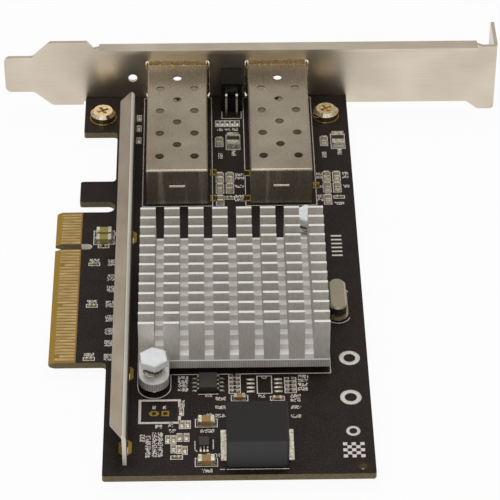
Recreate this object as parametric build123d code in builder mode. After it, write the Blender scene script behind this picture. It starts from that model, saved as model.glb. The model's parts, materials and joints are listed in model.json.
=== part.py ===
"""Dual-port network interface card: a low-profile board with a full-height bracket.

The card lies flat, component side up. X runs from the contact edge (X = 0) to the top edge of the
board, Y from the rear end of the board towards the bracket, with Y = 0 at the middle of the key
notch, and Z = 0 is the component face of the board. All lengths are in millimetres.
"""
import os
from math import cos, pi, sin

from build123d import *

# Sides of the small round features, kept few so that the mesh stays light
DRILL_SIDES = 8
HOLE_SIDES = 16
HEAD_SIDES = 20

# Board outline
BOARD_THICKNESS = 1.57
BOARD_HEIGHT = 68.9
REAR_Y = -74.6
FRONT_Y = 57.9
PANEL_X = 12.5
NOTCH_X = 13.25
EAR_X = 5.2
EAR_REAR_Y = 43.4
HOOK_X = 5.05
HOOK_FRONT_Y = 24.2
HOOK_REAR_Y = 16.45
CONTACT_FRONT_Y = 12.6
CONTACT_REAR_Y = -39.6
NOTCH_CORNER_R = 1.0
HOOK_GAP_R = 1.85
BOARD_CORNER = 0.4
KEY_WIDTH = 1.9
KEY_DEPTH = 8.4
BEVEL_LENGTH = 1.3
BEVEL_DEPTH = 0.45

# Edge contacts
CONTACT_PITCH = 1.0
KEY_CONTACT_GAP = 3.0
CONTACTS_BEFORE_KEY = 11
CONTACTS_AFTER_KEY = 38
PAD_WIDTH = 0.7
PAD_START_X = 1.3
PAD_END_X = 5.6
SHORT_PAD_START_X = 2.4
UPPER_SHORT_PADS = (17, 31, 48)
LOWER_SHORT_PADS = (1,)
PAD_THICKNESS = 0.05

# Bracket sheet
SHEET = 0.86
BRACKET_Y = 58.17
BRACKET_BOTTOM = -2.3
BRACKET_TOP = 16.1
BEND_R = 0.25
TONGUE_END_X = -14.3
TONGUE_ROOT_X = -7.4
TONGUE_BOTTOM = 1.7
TONGUE_TOP = 11.8
TONGUE_CORNER_R = 1.6
SHOULDER_X = -3.0
SHOULDER_R = 1.5
FLANGE_LEFT_X = 9.0
FLANGE_RIGHT_X = 100.2
FLANGE_DEPTH = 4.0
FLANGE_DROP = 0.45
RELIEF_WIDTH = 1.6
RELIEF_DEPTH = 2.0
RELIEF_RUN = 1.4
FOOT_START_X = 98.6
FOOT_BOTTOM = -4.6
FOOT_RUN = 2.8
TAB_OUTER_X = 105.5
TAB_TOP = 13.9
TAB_REACH = 11.2
TAB_CORNER = 0.7
SCREW_NOTCH_WIDTH = 4.42
SCREW_NOTCH_Z = 0.6
SCREW_NOTCH_Y = 5.9

# Card screws and the bracket tabs that they clamp
CARD_SCREWS = ((9.65, 49.5), (BOARD_HEIGHT - 5.3, 49.5))
SCREW_R = 1.45
SCREW_CLEARANCE = 0.2
THREAD_CLEARANCE = 0.05
SCREW_HEAD_R = 3.05
SCREW_HEAD_H = 2.15
SCREW_CROWN = 0.7
SCREW_LENGTH = 4.2
SCREW_POINT = 0.5
CROSS_LENGTH = 3.0
CROSS_WIDTH = 0.75
CROSS_DEPTH = 1.2
CROSS_TURN = 30
LAND_R = 3.25
CARD_TAB_WIDTH = 8.6
CARD_TAB_END = 4.6
TAB_RELIEF = 0.8
COLLAR_R = 2.3
COLLAR_H = 0.9

# Port cages
PORTS = (("left", 27.75, 9.9), ("right", 51.85, 10.9))
CAGE_WIDTH = 14.2
CAGE_HEIGHT = 9.8
CAGE_SHEET = 0.3
CAGE_STANDOFF = 0.1
CAGE_REAR_Y = 15.2
CAGE_FRONT_Y = 61.6
CAGE_BEND = 0.3
VENT_R = 1.05
VENT_SIDES = 10
VENT_PITCH = 8.9
VENT_SIDE_X = 4.05
VENT_REAR_Y = 20.7
VENT_ROWS = 4
CAGE_PIN_WIDTH = 0.8
CAGE_PIN_LENGTH = 2.9
CAGE_PIN_SHOULDER = 0.7
CAGE_PIN_TIP_WIDTH = 0.32
CAGE_PIN_HOLE_R = 0.55
CAGE_PINS_Y = (18.4, 29.4, 40.4, 51.4)
REAR_BEND_R = 0.5
LIP_WIDTH = 3.6
LIP_TOP = 5.7
LIP_REACH = 0.45
LIP_SLOT = 0.4
FLOOR_REAR_Y = 26.0
FLOOR_CLEARANCE = 0.05
LATCH_WIDTH = 5.2
LATCH_LENGTH = 9.0
LATCH_SLIT = 0.4
LATCH_HOLE_R = 1.5
LATCH_HOLE_Y = 4.6
SPRING_BAND_LENGTH = 4.4
SPRING_BAND_SETBACK = 0.3
SPRING_SHEET = 0.12
SPRING_BULGE = 0.4
SPRING_FOOT = 0.25
SPRING_SLOPE = 0.9
SPRING_RUN = 3.2
SPRING_FINGER_WIDTH = 2.5
SPRING_FINGER_PITCH = 2.8
TOP_FINGERS = 5
SIDE_FINGERS = 3
BAND_TO_BOARD = 0.2
WINDOW_CLEARANCE = 0.1
WINDOW_CORNER = 0.4

# Host connector inside each cage
HOST_WIDTH = 11.4
HOST_REAR_Y = 17.4
HOST_FRONT_Y = 24.6
HOST_HEIGHT = 6.4
HOST_NOSE_DEPTH = 4.6
HOST_NOSE_BOTTOM = 2.3
CARD_SLOT_WIDTH = 9.2
CARD_SLOT_HEIGHT = 1.4
CARD_SLOT_Z = 4.3
CARD_SLOT_DEPTH = 5.2
HOST_CONTACTS = 10
HOST_CONTACT_PITCH = 0.8
HOST_CONTACT_WIDTH = 0.32
HOST_CONTACT_THICKNESS = 0.2
HOST_CONTACT_CLEARANCE = 0.1
HOST_CHANNEL_WIDTH = 8.0
UPPER_LEG_Y = 18.0
UPPER_TAIL_Y = 16.4
LOWER_LEG_Y = 19.0
LOWER_TAIL_Y = 21.1
BLADE_FRONT_Y = 22.6

# Port lamp between the cages
LAMP_X = 40.75
LAMP_Z = 5.7
LAMP_R = 1.5
LAMP_RIM_R = 1.75
LAMP_REAR_Y = 53.0
LAMP_RIM_H = 0.9
LAMP_CROWN = 0.6
LAMP_TIP_Y = 60.8
LAMP_CLEARANCE = 0.15
HOLDER_WIDTH = 5.0
HOLDER_REAR_Y = 51.6
HOLDER_HEIGHT = 8.2
HOLDER_GAP = 0.2
LAMP_LEAD = 0.5
LAMP_LEAD_BEND = 0.35
LAMP_LEAD_PITCH = 2.54
LAMP_LEAD_Y = 50.4
LAMP_LEAD_HOLE_R = 0.45
LAMP_LEAD_DROP = 2.4
SPARE_LAMP_X = 16.8
SPARE_LAMP_Z = 5.5
SPARE_LAMP_R = 1.1

# Controller and heat sink
SINK_LEFT_X = 19.75
SINK_REAR_Y = -43.45
FIN_COLUMNS = 8
FIN_ROWS = 13
FIN_PITCH_X = 5.33
FIN_PITCH_Y = 3.246
FIN_WIDTH = 3.4
FIN_THICKNESS = 0.7
FIN_HEIGHT = 10.3
FIN_STUB_HEIGHT = 1.3
SINK_BASE = 2.3
CHIP_HEIGHT = 1.45
CHIP_SIDE = 25.0
CHIP_MOULD_SIDE = 22.6
CHIP_SUBSTRATE = 0.56
THERMAL_PAD = 0.15
THERMAL_PAD_SIDE = 20.0
SINK_EAR_R = 3.2
PIN_OFFSET_X = 3.25
PIN_OFFSET_Y = 4.25
PIN_R = 1.35
PIN_CLEARANCE = 0.2
PIN_HEAD_FLATS = 5.5
PIN_HEAD_HEIGHT = 1.85
PIN_HEAD_TOP = 8.9
PIN_HEAD_CHAMFER = 0.25
PIN_HEAD_TURN = 36.0
BARB_R = 1.95
BARB_TIP = 1.1
BARB_LENGTH = 1.9
BARB_GAP = 0.05
BARB_SLIT = 0.7
SPRING_R = 2.05
SPRING_WIRE = 0.6
SPRING_TURNS = 3
SPRING_STEPS = 12
SPRING_GAP = 0.1

# Stiffening bar
BAR_WALL_X = 17.55
BAR_FLANGE_X = 14.2
BAR_SHEET = 0.85
BAR_BEND_R = 0.3
BAR_HEIGHT = 8.5
BAR_REAR_Y = -71.5
BAR_FRONT_Y = 48.3
BAR_CHAMFER_X = 2.4
BAR_CHAMFER_Y = 3.8
BAR_LUGS_Y = (3.1, -43.3, -66.2)
BAR_LUG_LENGTH = 3.2
BAR_LUG_DROP = 2.1
BAR_LUG_CLEARANCE = 0.15
BAR_LAND_WIDTH = 2.7
BAR_LAND_LENGTH = 4.8

# Crystal
CRYSTAL_X = BOARD_HEIGHT - 5.75
CRYSTAL_Y = -21.35
CRYSTAL_WIDTH = 3.75
CRYSTAL_LENGTH = 10.5
CRYSTAL_HEIGHT = 3.5
CRYSTAL_RIM = 0.45
CRYSTAL_BASE = 0.45
CRYSTAL_CROWN = 0.35
CRYSTAL_LEAD_R = 0.22
CRYSTAL_LEAD_PITCH = 4.88
CRYSTAL_LEAD_DROP = 2.4
CRYSTAL_HOLE_R = 0.4

# Power inductor
COIL_X = 44.55
COIL_Y = -66.25
COIL_WIDTH = 12.9
COIL_LENGTH = 12.3
COIL_HEIGHT = 7.45
COIL_CORNER = 0.5
COIL_CHAMFER = 0.3
STRAP_WIDTH = 9.2
STRAP_THICKNESS = 0.5
STRAP_Z = 4.2
STRAP_INSET = 0.05
STRAP_CLEARANCE = 0.1
STRAP_FOOT = 1.2
COIL_STANDOFF = 0.1

# Flash memory in an eight-lead package
FLASH_X = 34.45
FLASH_Y = -47.2
FLASH_WIDTH = 3.9
FLASH_LENGTH = 4.9
FLASH_HEIGHT = 1.55
FLASH_LEADS_PER_SIDE = 4
LEAD_PITCH = 1.27
LEAD_WIDTH = 0.42
LEAD_SPAN = 6.2
LEAD_THICKNESS = 0.2
LEAD_FOOT = 0.7
LEAD_LEAN = 0.12
BODY_STANDOFF = 0.12
BODY_DRAFT = 8

# Load switch in a six-lead package
SWITCH_X = 33.5
SWITCH_Y = -65.35
SWITCH_WIDTH = 2.2
SWITCH_LENGTH = 2.7
SWITCH_HEIGHT = 1.0
SWITCH_PITCH = 0.72
SWITCH_LEADS_PER_SIDE = 3
SWITCH_SPAN = 3.9
SWITCH_LEAD_WIDTH = 0.34
SWITCH_FOOT = 0.25

# Bare footprints and plated rings
SPARE_FOOTPRINT_X = 46.45
SPARE_FOOTPRINT_Y = -47.5
SPARE_PAD_LENGTH = 1.7
SPARE_PAD_WIDTH = 0.62
SPARE_PAD_SPAN = 5.9
HEADER_X = 24.2
HEADER_Y = -55.95
HEADER_PITCH = 2.4
HEADER_HOLE_R = 0.5
HEADER_PAD = 1.6
HEADER_SLOT = 2.1
TOOLING_X = BOARD_HEIGHT - 2.7
TOOLING_Y = -72.5
TOOLING_R = 0.9
TOOLING_LAND_R = 1.5

# Chip parts: length over the ends, width, height, length of one end
SIZE_0402 = (1.1, 0.6, 0.45, 0.28)
SIZE_0603 = (1.65, 0.85, 0.5, 0.35)
SIZE_0805 = (2.2, 1.35, 0.9, 0.5)
SIZE_1206 = (3.3, 2.0, 1.4, 0.7)
SIZE_1812 = (4.6, 2.9, 1.3, 1.55)
END_WRAP = 0.04
ALONG_X = 0
ALONG_Y = 90

# Places of the chip parts that stand by themselves
LARGE_CAPACITORS = ((34.0, -59.0), (33.95, -70.8))
HEADER_CHIPS = ((28.7, -55.4), (28.85, -59.4), (30.15, -59.4))
SWITCH_CHIPS = (
    (26.0, -63.9), (27.15, -63.9), (28.4, -63.3), (29.85, -63.3), (27.15, -66.7),
    (28.35, -66.9), (29.5, -67.2),
)
SWITCH_CROSS_CHIP = (27.8, -69.3)
FLASH_CAPACITOR = (41.1, -51.4)
SPARE_CAPACITOR = (49.1, -51.6)
FLASH_BANK_X = 40.1
SPARE_BANK_X = 52.0
FLASH_BANK_COUNT = 5
SPARE_BANK_COUNT = 4
BAR_CHIPS = ((18.4, 49.1), (18.4, 44.9), (18.4, 40.1))
EDGE_CAPACITORS = ((11.0, 4.5), (11.0, 1.95))
EDGE_CHIP = (10.95, 0.05)
TONGUE_CHIPS = ((9.05, -6.3), (8.9, -20.7), (8.75, -38.4))
PORT_CHIPS = ((39.8, 17.45), (65.4, 17.4))
LAMP_CHIPS = ((37.3, 46.6), (38.5, 46.6), (39.7, 46.6), (40.9, 46.6), (42.1, 46.6))

# Filter parts beside each port, from the column's own line
FILTER_ROWS_Y = (25.2, 21.0, 16.5)
FILTER_PAIR_X = 2.35
FILTER_FRONT_Y = 39.1
CHOKE_X = 3.3


def nearest(sketch, points):
    """The vertices of a sketch that lie nearest to the given points."""
    return [sketch.vertices().sort_by_distance(point)[0] for point in points]


def oblong(width, length):
    """A rectangle whose corners are cut back by a third of its shorter side."""
    with BuildSketch() as land:
        Rectangle(width, length)
        chamfer(land.vertices(), min(width, length) / 3)
    return land.sketch


def oval(width, length):
    """A shape along Y with straight sides and round, many-sided ends."""
    with BuildSketch() as can:
        Rectangle(width, length - width)
        with GridLocations(0, length - width, 1, 2):
            RegularPolygon(width / 2, HOLE_SIDES)
    return can.sketch


def save(piece, name):
    """Label a finished piece and write it under its node's name."""
    piece.part.label = name
    export_step(piece.part, f"parts/{name}.step")


os.makedirs("parts", exist_ok=True)

BOARD_BACK = -BOARD_THICKNESS
BRACKET_OUTER_Y = BRACKET_Y + SHEET
BEND_OUTER_R = BEND_R + SHEET

SINK_WIDTH = (FIN_COLUMNS - 1) * FIN_PITCH_X + FIN_WIDTH
SINK_LENGTH = (FIN_ROWS - 1) * FIN_PITCH_Y + FIN_THICKNESS
SINK_X = SINK_LEFT_X + SINK_WIDTH / 2
SINK_Y = SINK_REAR_Y + SINK_LENGTH / 2
SINK_BOTTOM = CHIP_HEIGHT + THERMAL_PAD
SINK_TOP = SINK_BOTTOM + SINK_BASE
PUSH_PINS = (
    (SINK_X - SINK_WIDTH / 2 + PIN_OFFSET_X, SINK_Y - SINK_LENGTH / 2 - PIN_OFFSET_Y),
    (SINK_X + SINK_WIDTH / 2 - PIN_OFFSET_X, SINK_Y + SINK_LENGTH / 2 + PIN_OFFSET_Y),
)

CAGE_PIN_X = CAGE_WIDTH / 2 - CAGE_SHEET / 2
CAGE_PINS = [
    (centre + sign * CAGE_PIN_X, y)
    for side, centre, filter_line in PORTS
    for sign in (-1, 1)
    for y in CAGE_PINS_Y
]
LAMP_LEADS = [(LAMP_X + sign * LAMP_LEAD_PITCH / 2, LAMP_LEAD_Y) for sign in (-1, 1)]
CRYSTAL_LEADS = [
    (CRYSTAL_X, CRYSTAL_Y + sign * CRYSTAL_LEAD_PITCH / 2) for sign in (-1, 1)
]
HEADER_HOLES = [(HEADER_X + sign * HEADER_PITCH / 2, HEADER_Y) for sign in (-1, 1)]
BAR_LUG_X = BAR_WALL_X - BAR_SHEET / 2


# Circuit board
with BuildPart() as circuit_board:
    with BuildSketch(Plane.XY.offset(BOARD_BACK)) as outline:
        with BuildLine():
            Polyline(
                (PANEL_X, REAR_Y), (BOARD_HEIGHT, REAR_Y), (BOARD_HEIGHT, FRONT_Y),
                (EAR_X, FRONT_Y), (EAR_X, EAR_REAR_Y), (NOTCH_X, EAR_REAR_Y),
                (NOTCH_X, HOOK_FRONT_Y), (HOOK_X, HOOK_FRONT_Y), (HOOK_X, HOOK_REAR_Y),
                (NOTCH_X, HOOK_REAR_Y), (NOTCH_X, CONTACT_FRONT_Y), (0, CONTACT_FRONT_Y),
                (0, CONTACT_REAR_Y), (PANEL_X, CONTACT_REAR_Y), close=True,
            )
        make_face()
        fillet(
            nearest(outline, [
                (NOTCH_X, EAR_REAR_Y), (NOTCH_X, HOOK_FRONT_Y), (PANEL_X, CONTACT_REAR_Y),
            ]),
            NOTCH_CORNER_R,
        )
        chamfer(
            nearest(outline, [
                (HOOK_X, HOOK_FRONT_Y), (HOOK_X, HOOK_REAR_Y), (EAR_X, EAR_REAR_Y),
                (0, CONTACT_FRONT_Y), (0, CONTACT_REAR_Y), (PANEL_X, REAR_Y),
                (BOARD_HEIGHT, REAR_Y),
            ]),
            BOARD_CORNER,
        )
        fillet(
            nearest(outline, [(NOTCH_X, HOOK_REAR_Y), (NOTCH_X, CONTACT_FRONT_Y)]),
            HOOK_GAP_R,
        )
        SlotOverall(2 * KEY_DEPTH, KEY_WIDTH, mode=Mode.SUBTRACT)
        for places, radius, sides in (
            (CARD_SCREWS, SCREW_R + SCREW_CLEARANCE, HEAD_SIDES),
            (PUSH_PINS, PIN_R + PIN_CLEARANCE, HOLE_SIDES),
            (CAGE_PINS, CAGE_PIN_HOLE_R, DRILL_SIDES),
            (LAMP_LEADS, LAMP_LEAD_HOLE_R, DRILL_SIDES),
            (CRYSTAL_LEADS, CRYSTAL_HOLE_R, DRILL_SIDES),
            (HEADER_HOLES, HEADER_HOLE_R, HOLE_SIDES),
            (((TOOLING_X, TOOLING_Y),), TOOLING_R, HOLE_SIDES),
        ):
            with Locations(*places):
                RegularPolygon(radius, sides, mode=Mode.SUBTRACT)
        with Locations(*[(BAR_LUG_X, y) for y in BAR_LUGS_Y]):
            Rectangle(
                BAR_SHEET + 2 * BAR_LUG_CLEARANCE, BAR_LUG_LENGTH + 2 * BAR_LUG_CLEARANCE,
                mode=Mode.SUBTRACT,
            )
    extrude(amount=BOARD_THICKNESS)
    with BuildSketch(Plane.XZ.offset(-CONTACT_FRONT_Y)):
        Polygon((0, 0), (BEVEL_LENGTH, 0), (0, -BEVEL_DEPTH), align=None)
        Polygon(
            (0, BOARD_BACK), (BEVEL_LENGTH, BOARD_BACK), (0, BOARD_BACK + BEVEL_DEPTH),
            align=None,
        )
    extrude(amount=CONTACT_FRONT_Y - CONTACT_REAR_Y, mode=Mode.SUBTRACT)
save(circuit_board, "circuit_board")


# Gold contacts along both faces of the contact edge, counted from the bracket end
CONTACT_Y = [
    KEY_CONTACT_GAP / 2 + (CONTACTS_BEFORE_KEY - number) * CONTACT_PITCH
    for number in range(1, CONTACTS_BEFORE_KEY + 1)
] + [-KEY_CONTACT_GAP / 2 - index * CONTACT_PITCH for index in range(CONTACTS_AFTER_KEY)]

with BuildPart() as edge_contacts:
    for level, short_pads in (
        (0, UPPER_SHORT_PADS), (BOARD_BACK - PAD_THICKNESS, LOWER_SHORT_PADS),
    ):
        with BuildSketch(Plane.XY.offset(level)):
            for number, pad_y in enumerate(CONTACT_Y, start=1):
                pad_x = SHORT_PAD_START_X if number in short_pads else PAD_START_X
                with Locations(((pad_x + PAD_END_X) / 2, pad_y)):
                    Rectangle(PAD_END_X - pad_x, PAD_WIDTH)
        extrude(amount=PAD_THICKNESS)
save(edge_contacts, "edge_contacts")


# Gold lands that show on the component face
with BuildPart() as gold_lands:
    with BuildSketch(Plane.XY):
        with Locations(*CARD_SCREWS):
            RegularPolygon(LAND_R, HEAD_SIDES)
            RegularPolygon(SCREW_R + SCREW_CLEARANCE, HEAD_SIDES, mode=Mode.SUBTRACT)
        with Locations((TOOLING_X, TOOLING_Y)):
            RegularPolygon(TOOLING_LAND_R, HOLE_SIDES)
            RegularPolygon(TOOLING_R, HOLE_SIDES, mode=Mode.SUBTRACT)
        with Locations(HEADER_HOLES[0]):
            add(oblong(HEADER_SLOT, HEADER_PAD))
        with Locations(HEADER_HOLES[1]):
            Rectangle(HEADER_PAD, HEADER_PAD)
        with Locations(*HEADER_HOLES):
            RegularPolygon(HEADER_HOLE_R, HOLE_SIDES, mode=Mode.SUBTRACT)
        with Locations(*[(BAR_LUG_X, y) for y in BAR_LUGS_Y]):
            add(oblong(BAR_LAND_WIDTH, BAR_LAND_LENGTH))
            Rectangle(
                BAR_SHEET + 2 * BAR_LUG_CLEARANCE, BAR_LUG_LENGTH + 2 * BAR_LUG_CLEARANCE,
                mode=Mode.SUBTRACT,
            )
    extrude(amount=PAD_THICKNESS)
save(gold_lands, "gold_lands")


# Tinned lands of a footprint that holds no part
with BuildPart() as spare_lands:
    with BuildSketch(Plane.XY):
        with Locations((SPARE_FOOTPRINT_X, SPARE_FOOTPRINT_Y)):
            with GridLocations(SPARE_PAD_SPAN, LEAD_PITCH, 2, 4):
                Rectangle(SPARE_PAD_LENGTH, SPARE_PAD_WIDTH)
    extrude(amount=PAD_THICKNESS)
save(spare_lands, "spare_lands")


# Bracket, folded from one sheet
FLANGE_TOP = BRACKET_TOP - FLANGE_DROP
FLANGE_ROOT = FLANGE_TOP - BEND_OUTER_R
CARD_TAB_ROOT = BOARD_BACK - SHEET + BEND_OUTER_R
TAB_ROOT_X = TAB_OUTER_X - BEND_OUTER_R
BEND_LEG = BEND_OUTER_R + SHEET
SPRING_REACH = SPRING_SHEET + SPRING_BULGE + WINDOW_CLEARANCE
WINDOW_WIDTH = CAGE_WIDTH + 2 * SPRING_REACH
WINDOW_BOTTOM = CAGE_STANDOFF - SPRING_REACH
WINDOW_TOP = CAGE_STANDOFF + CAGE_HEIGHT + SPRING_REACH

with BuildSketch() as window:
    Rectangle(WINDOW_WIDTH, WINDOW_TOP - WINDOW_BOTTOM)
    chamfer(window.vertices(), WINDOW_CORNER)
PORT_WINDOW = window.sketch

with BuildPart() as bracket:
    with BuildSketch(Plane.XZ.offset(-BRACKET_Y)) as face:
        with BuildLine():
            Polyline(
                (TONGUE_END_X, TONGUE_BOTTOM), (TONGUE_ROOT_X, TONGUE_BOTTOM),
                (SHOULDER_X, BRACKET_BOTTOM), (FOOT_START_X, BRACKET_BOTTOM),
                (FOOT_START_X + FOOT_RUN, FOOT_BOTTOM), (TAB_ROOT_X, FOOT_BOTTOM),
                (TAB_ROOT_X, TAB_TOP), (FLANGE_RIGHT_X + RELIEF_WIDTH, TAB_TOP),
                (FLANGE_RIGHT_X, FLANGE_ROOT), (FLANGE_LEFT_X, FLANGE_ROOT),
                (FLANGE_LEFT_X - RELIEF_RUN, BRACKET_TOP - RELIEF_DEPTH),
                (FLANGE_LEFT_X - RELIEF_RUN - RELIEF_WIDTH, BRACKET_TOP),
                (SHOULDER_X, BRACKET_TOP), (TONGUE_ROOT_X, TONGUE_TOP),
                (TONGUE_END_X, TONGUE_TOP), close=True,
            )
        make_face()
        fillet(
            nearest(face, [(TONGUE_END_X, TONGUE_BOTTOM), (TONGUE_END_X, TONGUE_TOP)]),
            TONGUE_CORNER_R,
        )
        fillet(
            nearest(face, [
                (TONGUE_ROOT_X, TONGUE_BOTTOM), (SHOULDER_X, BRACKET_BOTTOM),
                (SHOULDER_X, BRACKET_TOP), (TONGUE_ROOT_X, TONGUE_TOP),
                (FOOT_START_X, BRACKET_BOTTOM), (FOOT_START_X + FOOT_RUN, FOOT_BOTTOM),
            ]),
            SHOULDER_R,
        )
        for side, centre, filter_line in PORTS:
            with Locations((centre, (WINDOW_BOTTOM + WINDOW_TOP) / 2)):
                add(PORT_WINDOW, mode=Mode.SUBTRACT)
        with Locations((LAMP_X, LAMP_Z)):
            RegularPolygon(LAMP_R + LAMP_CLEARANCE, HOLE_SIDES, mode=Mode.SUBTRACT)
        with Locations((SPARE_LAMP_X, SPARE_LAMP_Z)):
            RegularPolygon(SPARE_LAMP_R, HOLE_SIDES, mode=Mode.SUBTRACT)
        for screw_x, screw_y in CARD_SCREWS:
            with Locations((screw_x, BRACKET_BOTTOM)):
                Rectangle(
                    CARD_TAB_WIDTH + 2 * TAB_RELIEF, CARD_TAB_ROOT - BRACKET_BOTTOM,
                    align=(Align.CENTER, Align.MIN), mode=Mode.SUBTRACT,
                )
    extrude(amount=-SHEET)

    # Stiffening flange, folded inwards along the upper edge
    with BuildSketch(Plane.YZ.offset(FLANGE_LEFT_X)) as flange:
        with Locations((BRACKET_OUTER_Y, FLANGE_TOP)):
            Rectangle(FLANGE_DEPTH, SHEET, align=(Align.MAX, Align.MAX))
            Rectangle(SHEET, BEND_LEG, align=(Align.MAX, Align.MAX))
        fillet(nearest(flange, [(BRACKET_Y, FLANGE_TOP - SHEET)]), BEND_R)
        fillet(nearest(flange, [(BRACKET_OUTER_Y, FLANGE_TOP)]), BEND_OUTER_R)
    extrude(amount=FLANGE_RIGHT_X - FLANGE_LEFT_X)

    # Mounting tab, folded outwards, with its open notch for the chassis screw
    with BuildSketch(Plane.XY.offset(FOOT_BOTTOM)) as mounting_tab:
        with Locations((TAB_OUTER_X, BRACKET_Y)):
            Rectangle(BEND_LEG, SHEET, align=(Align.MAX, Align.MIN))
            Rectangle(SHEET, TAB_REACH, align=(Align.MAX, Align.MIN))
        fillet(nearest(mounting_tab, [(TAB_OUTER_X - SHEET, BRACKET_OUTER_Y)]), BEND_R)
        fillet(nearest(mounting_tab, [(TAB_OUTER_X, BRACKET_Y)]), BEND_OUTER_R)
    extrude(amount=TAB_TOP - FOOT_BOTTOM)
    with BuildSketch(Plane.YZ.offset(TAB_OUTER_X - SHEET)):
        with Locations((BRACKET_OUTER_Y + SCREW_NOTCH_Y, SCREW_NOTCH_Z)):
            Circle(SCREW_NOTCH_WIDTH / 2)
            Rectangle(
                SCREW_NOTCH_WIDTH, SCREW_NOTCH_Z - FOOT_BOTTOM, align=(Align.CENTER, Align.MAX)
            )
    extrude(amount=SHEET, mode=Mode.SUBTRACT)
    tab_corners = bracket.edges().filter_by(Axis.X).group_by(Axis.Y)[-1]
    chamfer(tab_corners, TAB_CORNER)

    # Card tabs under the board, each with a threaded collar
    for screw_x, screw_y in CARD_SCREWS:
        with BuildSketch(Plane.YZ.offset(screw_x - CARD_TAB_WIDTH / 2)) as card_tab:
            with Locations((BRACKET_OUTER_Y, BOARD_BACK - SHEET)):
                Rectangle(
                    BRACKET_OUTER_Y - screw_y + CARD_TAB_END, SHEET,
                    align=(Align.MAX, Align.MIN),
                )
                Rectangle(SHEET, BEND_LEG, align=(Align.MAX, Align.MIN))
            fillet(nearest(card_tab, [(BRACKET_Y, BOARD_BACK)]), BEND_R)
            fillet(nearest(card_tab, [(BRACKET_OUTER_Y, BOARD_BACK - SHEET)]), BEND_OUTER_R)
        extrude(amount=CARD_TAB_WIDTH)
        with BuildSketch(Plane.XY.offset(BOARD_BACK - SHEET)):
            with Locations((screw_x, screw_y)):
                RegularPolygon(COLLAR_R, HEAD_SIDES)
        extrude(amount=-COLLAR_H)
        with BuildSketch(Plane.XY.offset(BOARD_BACK)):
            with Locations((screw_x, screw_y)):
                RegularPolygon(SCREW_R + THREAD_CLEARANCE, HEAD_SIDES)
        extrude(amount=-(SHEET + COLLAR_H), mode=Mode.SUBTRACT)
save(bracket, "bracket")


# Pan-head screws that hold the board to the bracket tabs
HEAD_TOP = PAD_THICKNESS + SCREW_HEAD_H

with BuildPart() as bracket_screws:
    for radius, rise in (
        (SCREW_HEAD_R, SCREW_HEAD_H), (SCREW_R, -PAD_THICKNESS - SCREW_LENGTH),
    ):
        with BuildSketch(Plane.XY.offset(PAD_THICKNESS)):
            with Locations(*CARD_SCREWS):
                RegularPolygon(radius, HEAD_SIDES)
        extrude(amount=rise)
    for level, cut in ((-1, SCREW_CROWN), (0, SCREW_POINT)):
        chamfer(bracket_screws.faces().group_by(Axis.Z)[level].edges(), cut)
    with BuildSketch(Plane.XY.offset(HEAD_TOP)):
        with Locations(*CARD_SCREWS):
            Rectangle(CROSS_LENGTH, CROSS_WIDTH, rotation=CROSS_TURN)
            Rectangle(CROSS_WIDTH, CROSS_LENGTH, rotation=CROSS_TURN)
    extrude(amount=-CROSS_DEPTH, mode=Mode.SUBTRACT)
save(bracket_screws, "bracket_screws")


# Port cages, each with its floor plate, spring band and host connector
CAGE_TOP = CAGE_STANDOFF + CAGE_HEIGHT
CAGE_INNER_WIDTH = CAGE_WIDTH - 2 * CAGE_SHEET
BAND_FRONT_Y = CAGE_FRONT_Y - SPRING_BAND_SETBACK
BAND_REAR_Y = BAND_FRONT_Y - SPRING_BAND_LENGTH
BAND_FLOOR_Y = FRONT_Y + BAND_TO_BOARD
FINGERS_Y = BRACKET_Y + (SHEET - SPRING_RUN) / 2
FINGERS_SIDE_Z = CAGE_STANDOFF + CAGE_HEIGHT / 2
VENTS_MIDDLE = [
    (0, VENT_REAR_Y + VENT_PITCH / 2 + row * VENT_PITCH) for row in range(VENT_ROWS)
]
VENTS_SIDES = [
    (sign * VENT_SIDE_X, VENT_REAR_Y + row * VENT_PITCH)
    for row in range(VENT_ROWS) for sign in (-1, 1)
]
UPPER_BLADE_Z = CARD_SLOT_Z + CARD_SLOT_HEIGHT / 2 - HOST_CONTACT_CLEARANCE
LOWER_BLADE_Z = CARD_SLOT_Z - CARD_SLOT_HEIGHT / 2 + HOST_CONTACT_CLEARANCE

# One bowed spring finger from its side: X along the band, Y away from the cage
with BuildSketch() as finger:
    Polygon(
        (0, 0), (SPRING_SLOPE, SPRING_BULGE), (SPRING_RUN - SPRING_SLOPE, SPRING_BULGE),
        (SPRING_RUN, 0), (SPRING_RUN - SPRING_FOOT, 0),
        (SPRING_RUN - SPRING_SLOPE, SPRING_BULGE - SPRING_SHEET),
        (SPRING_SLOPE, SPRING_BULGE - SPRING_SHEET), (SPRING_FOOT, 0), align=None,
    )

# One pair of host contacts from the side: X is the card's Y, Y its Z
with BuildSketch() as contact_pair:
    for foot_rear_y, foot_front_y, leg_y, blade_z in (
        (UPPER_TAIL_Y, UPPER_LEG_Y + HOST_CONTACT_THICKNESS, UPPER_LEG_Y, UPPER_BLADE_Z),
        (LOWER_LEG_Y, LOWER_TAIL_Y, LOWER_LEG_Y, LOWER_BLADE_Z + HOST_CONTACT_THICKNESS),
    ):
        with Locations((foot_rear_y, 0)):
            Rectangle(foot_front_y - foot_rear_y, HOST_CONTACT_THICKNESS, align=Align.MIN)
        with Locations((leg_y, 0)):
            Rectangle(HOST_CONTACT_THICKNESS, blade_z, align=Align.MIN)
        with Locations((leg_y, blade_z)):
            Rectangle(
                BLADE_FRONT_Y - leg_y, HOST_CONTACT_THICKNESS, align=(Align.MIN, Align.MAX)
            )

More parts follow.
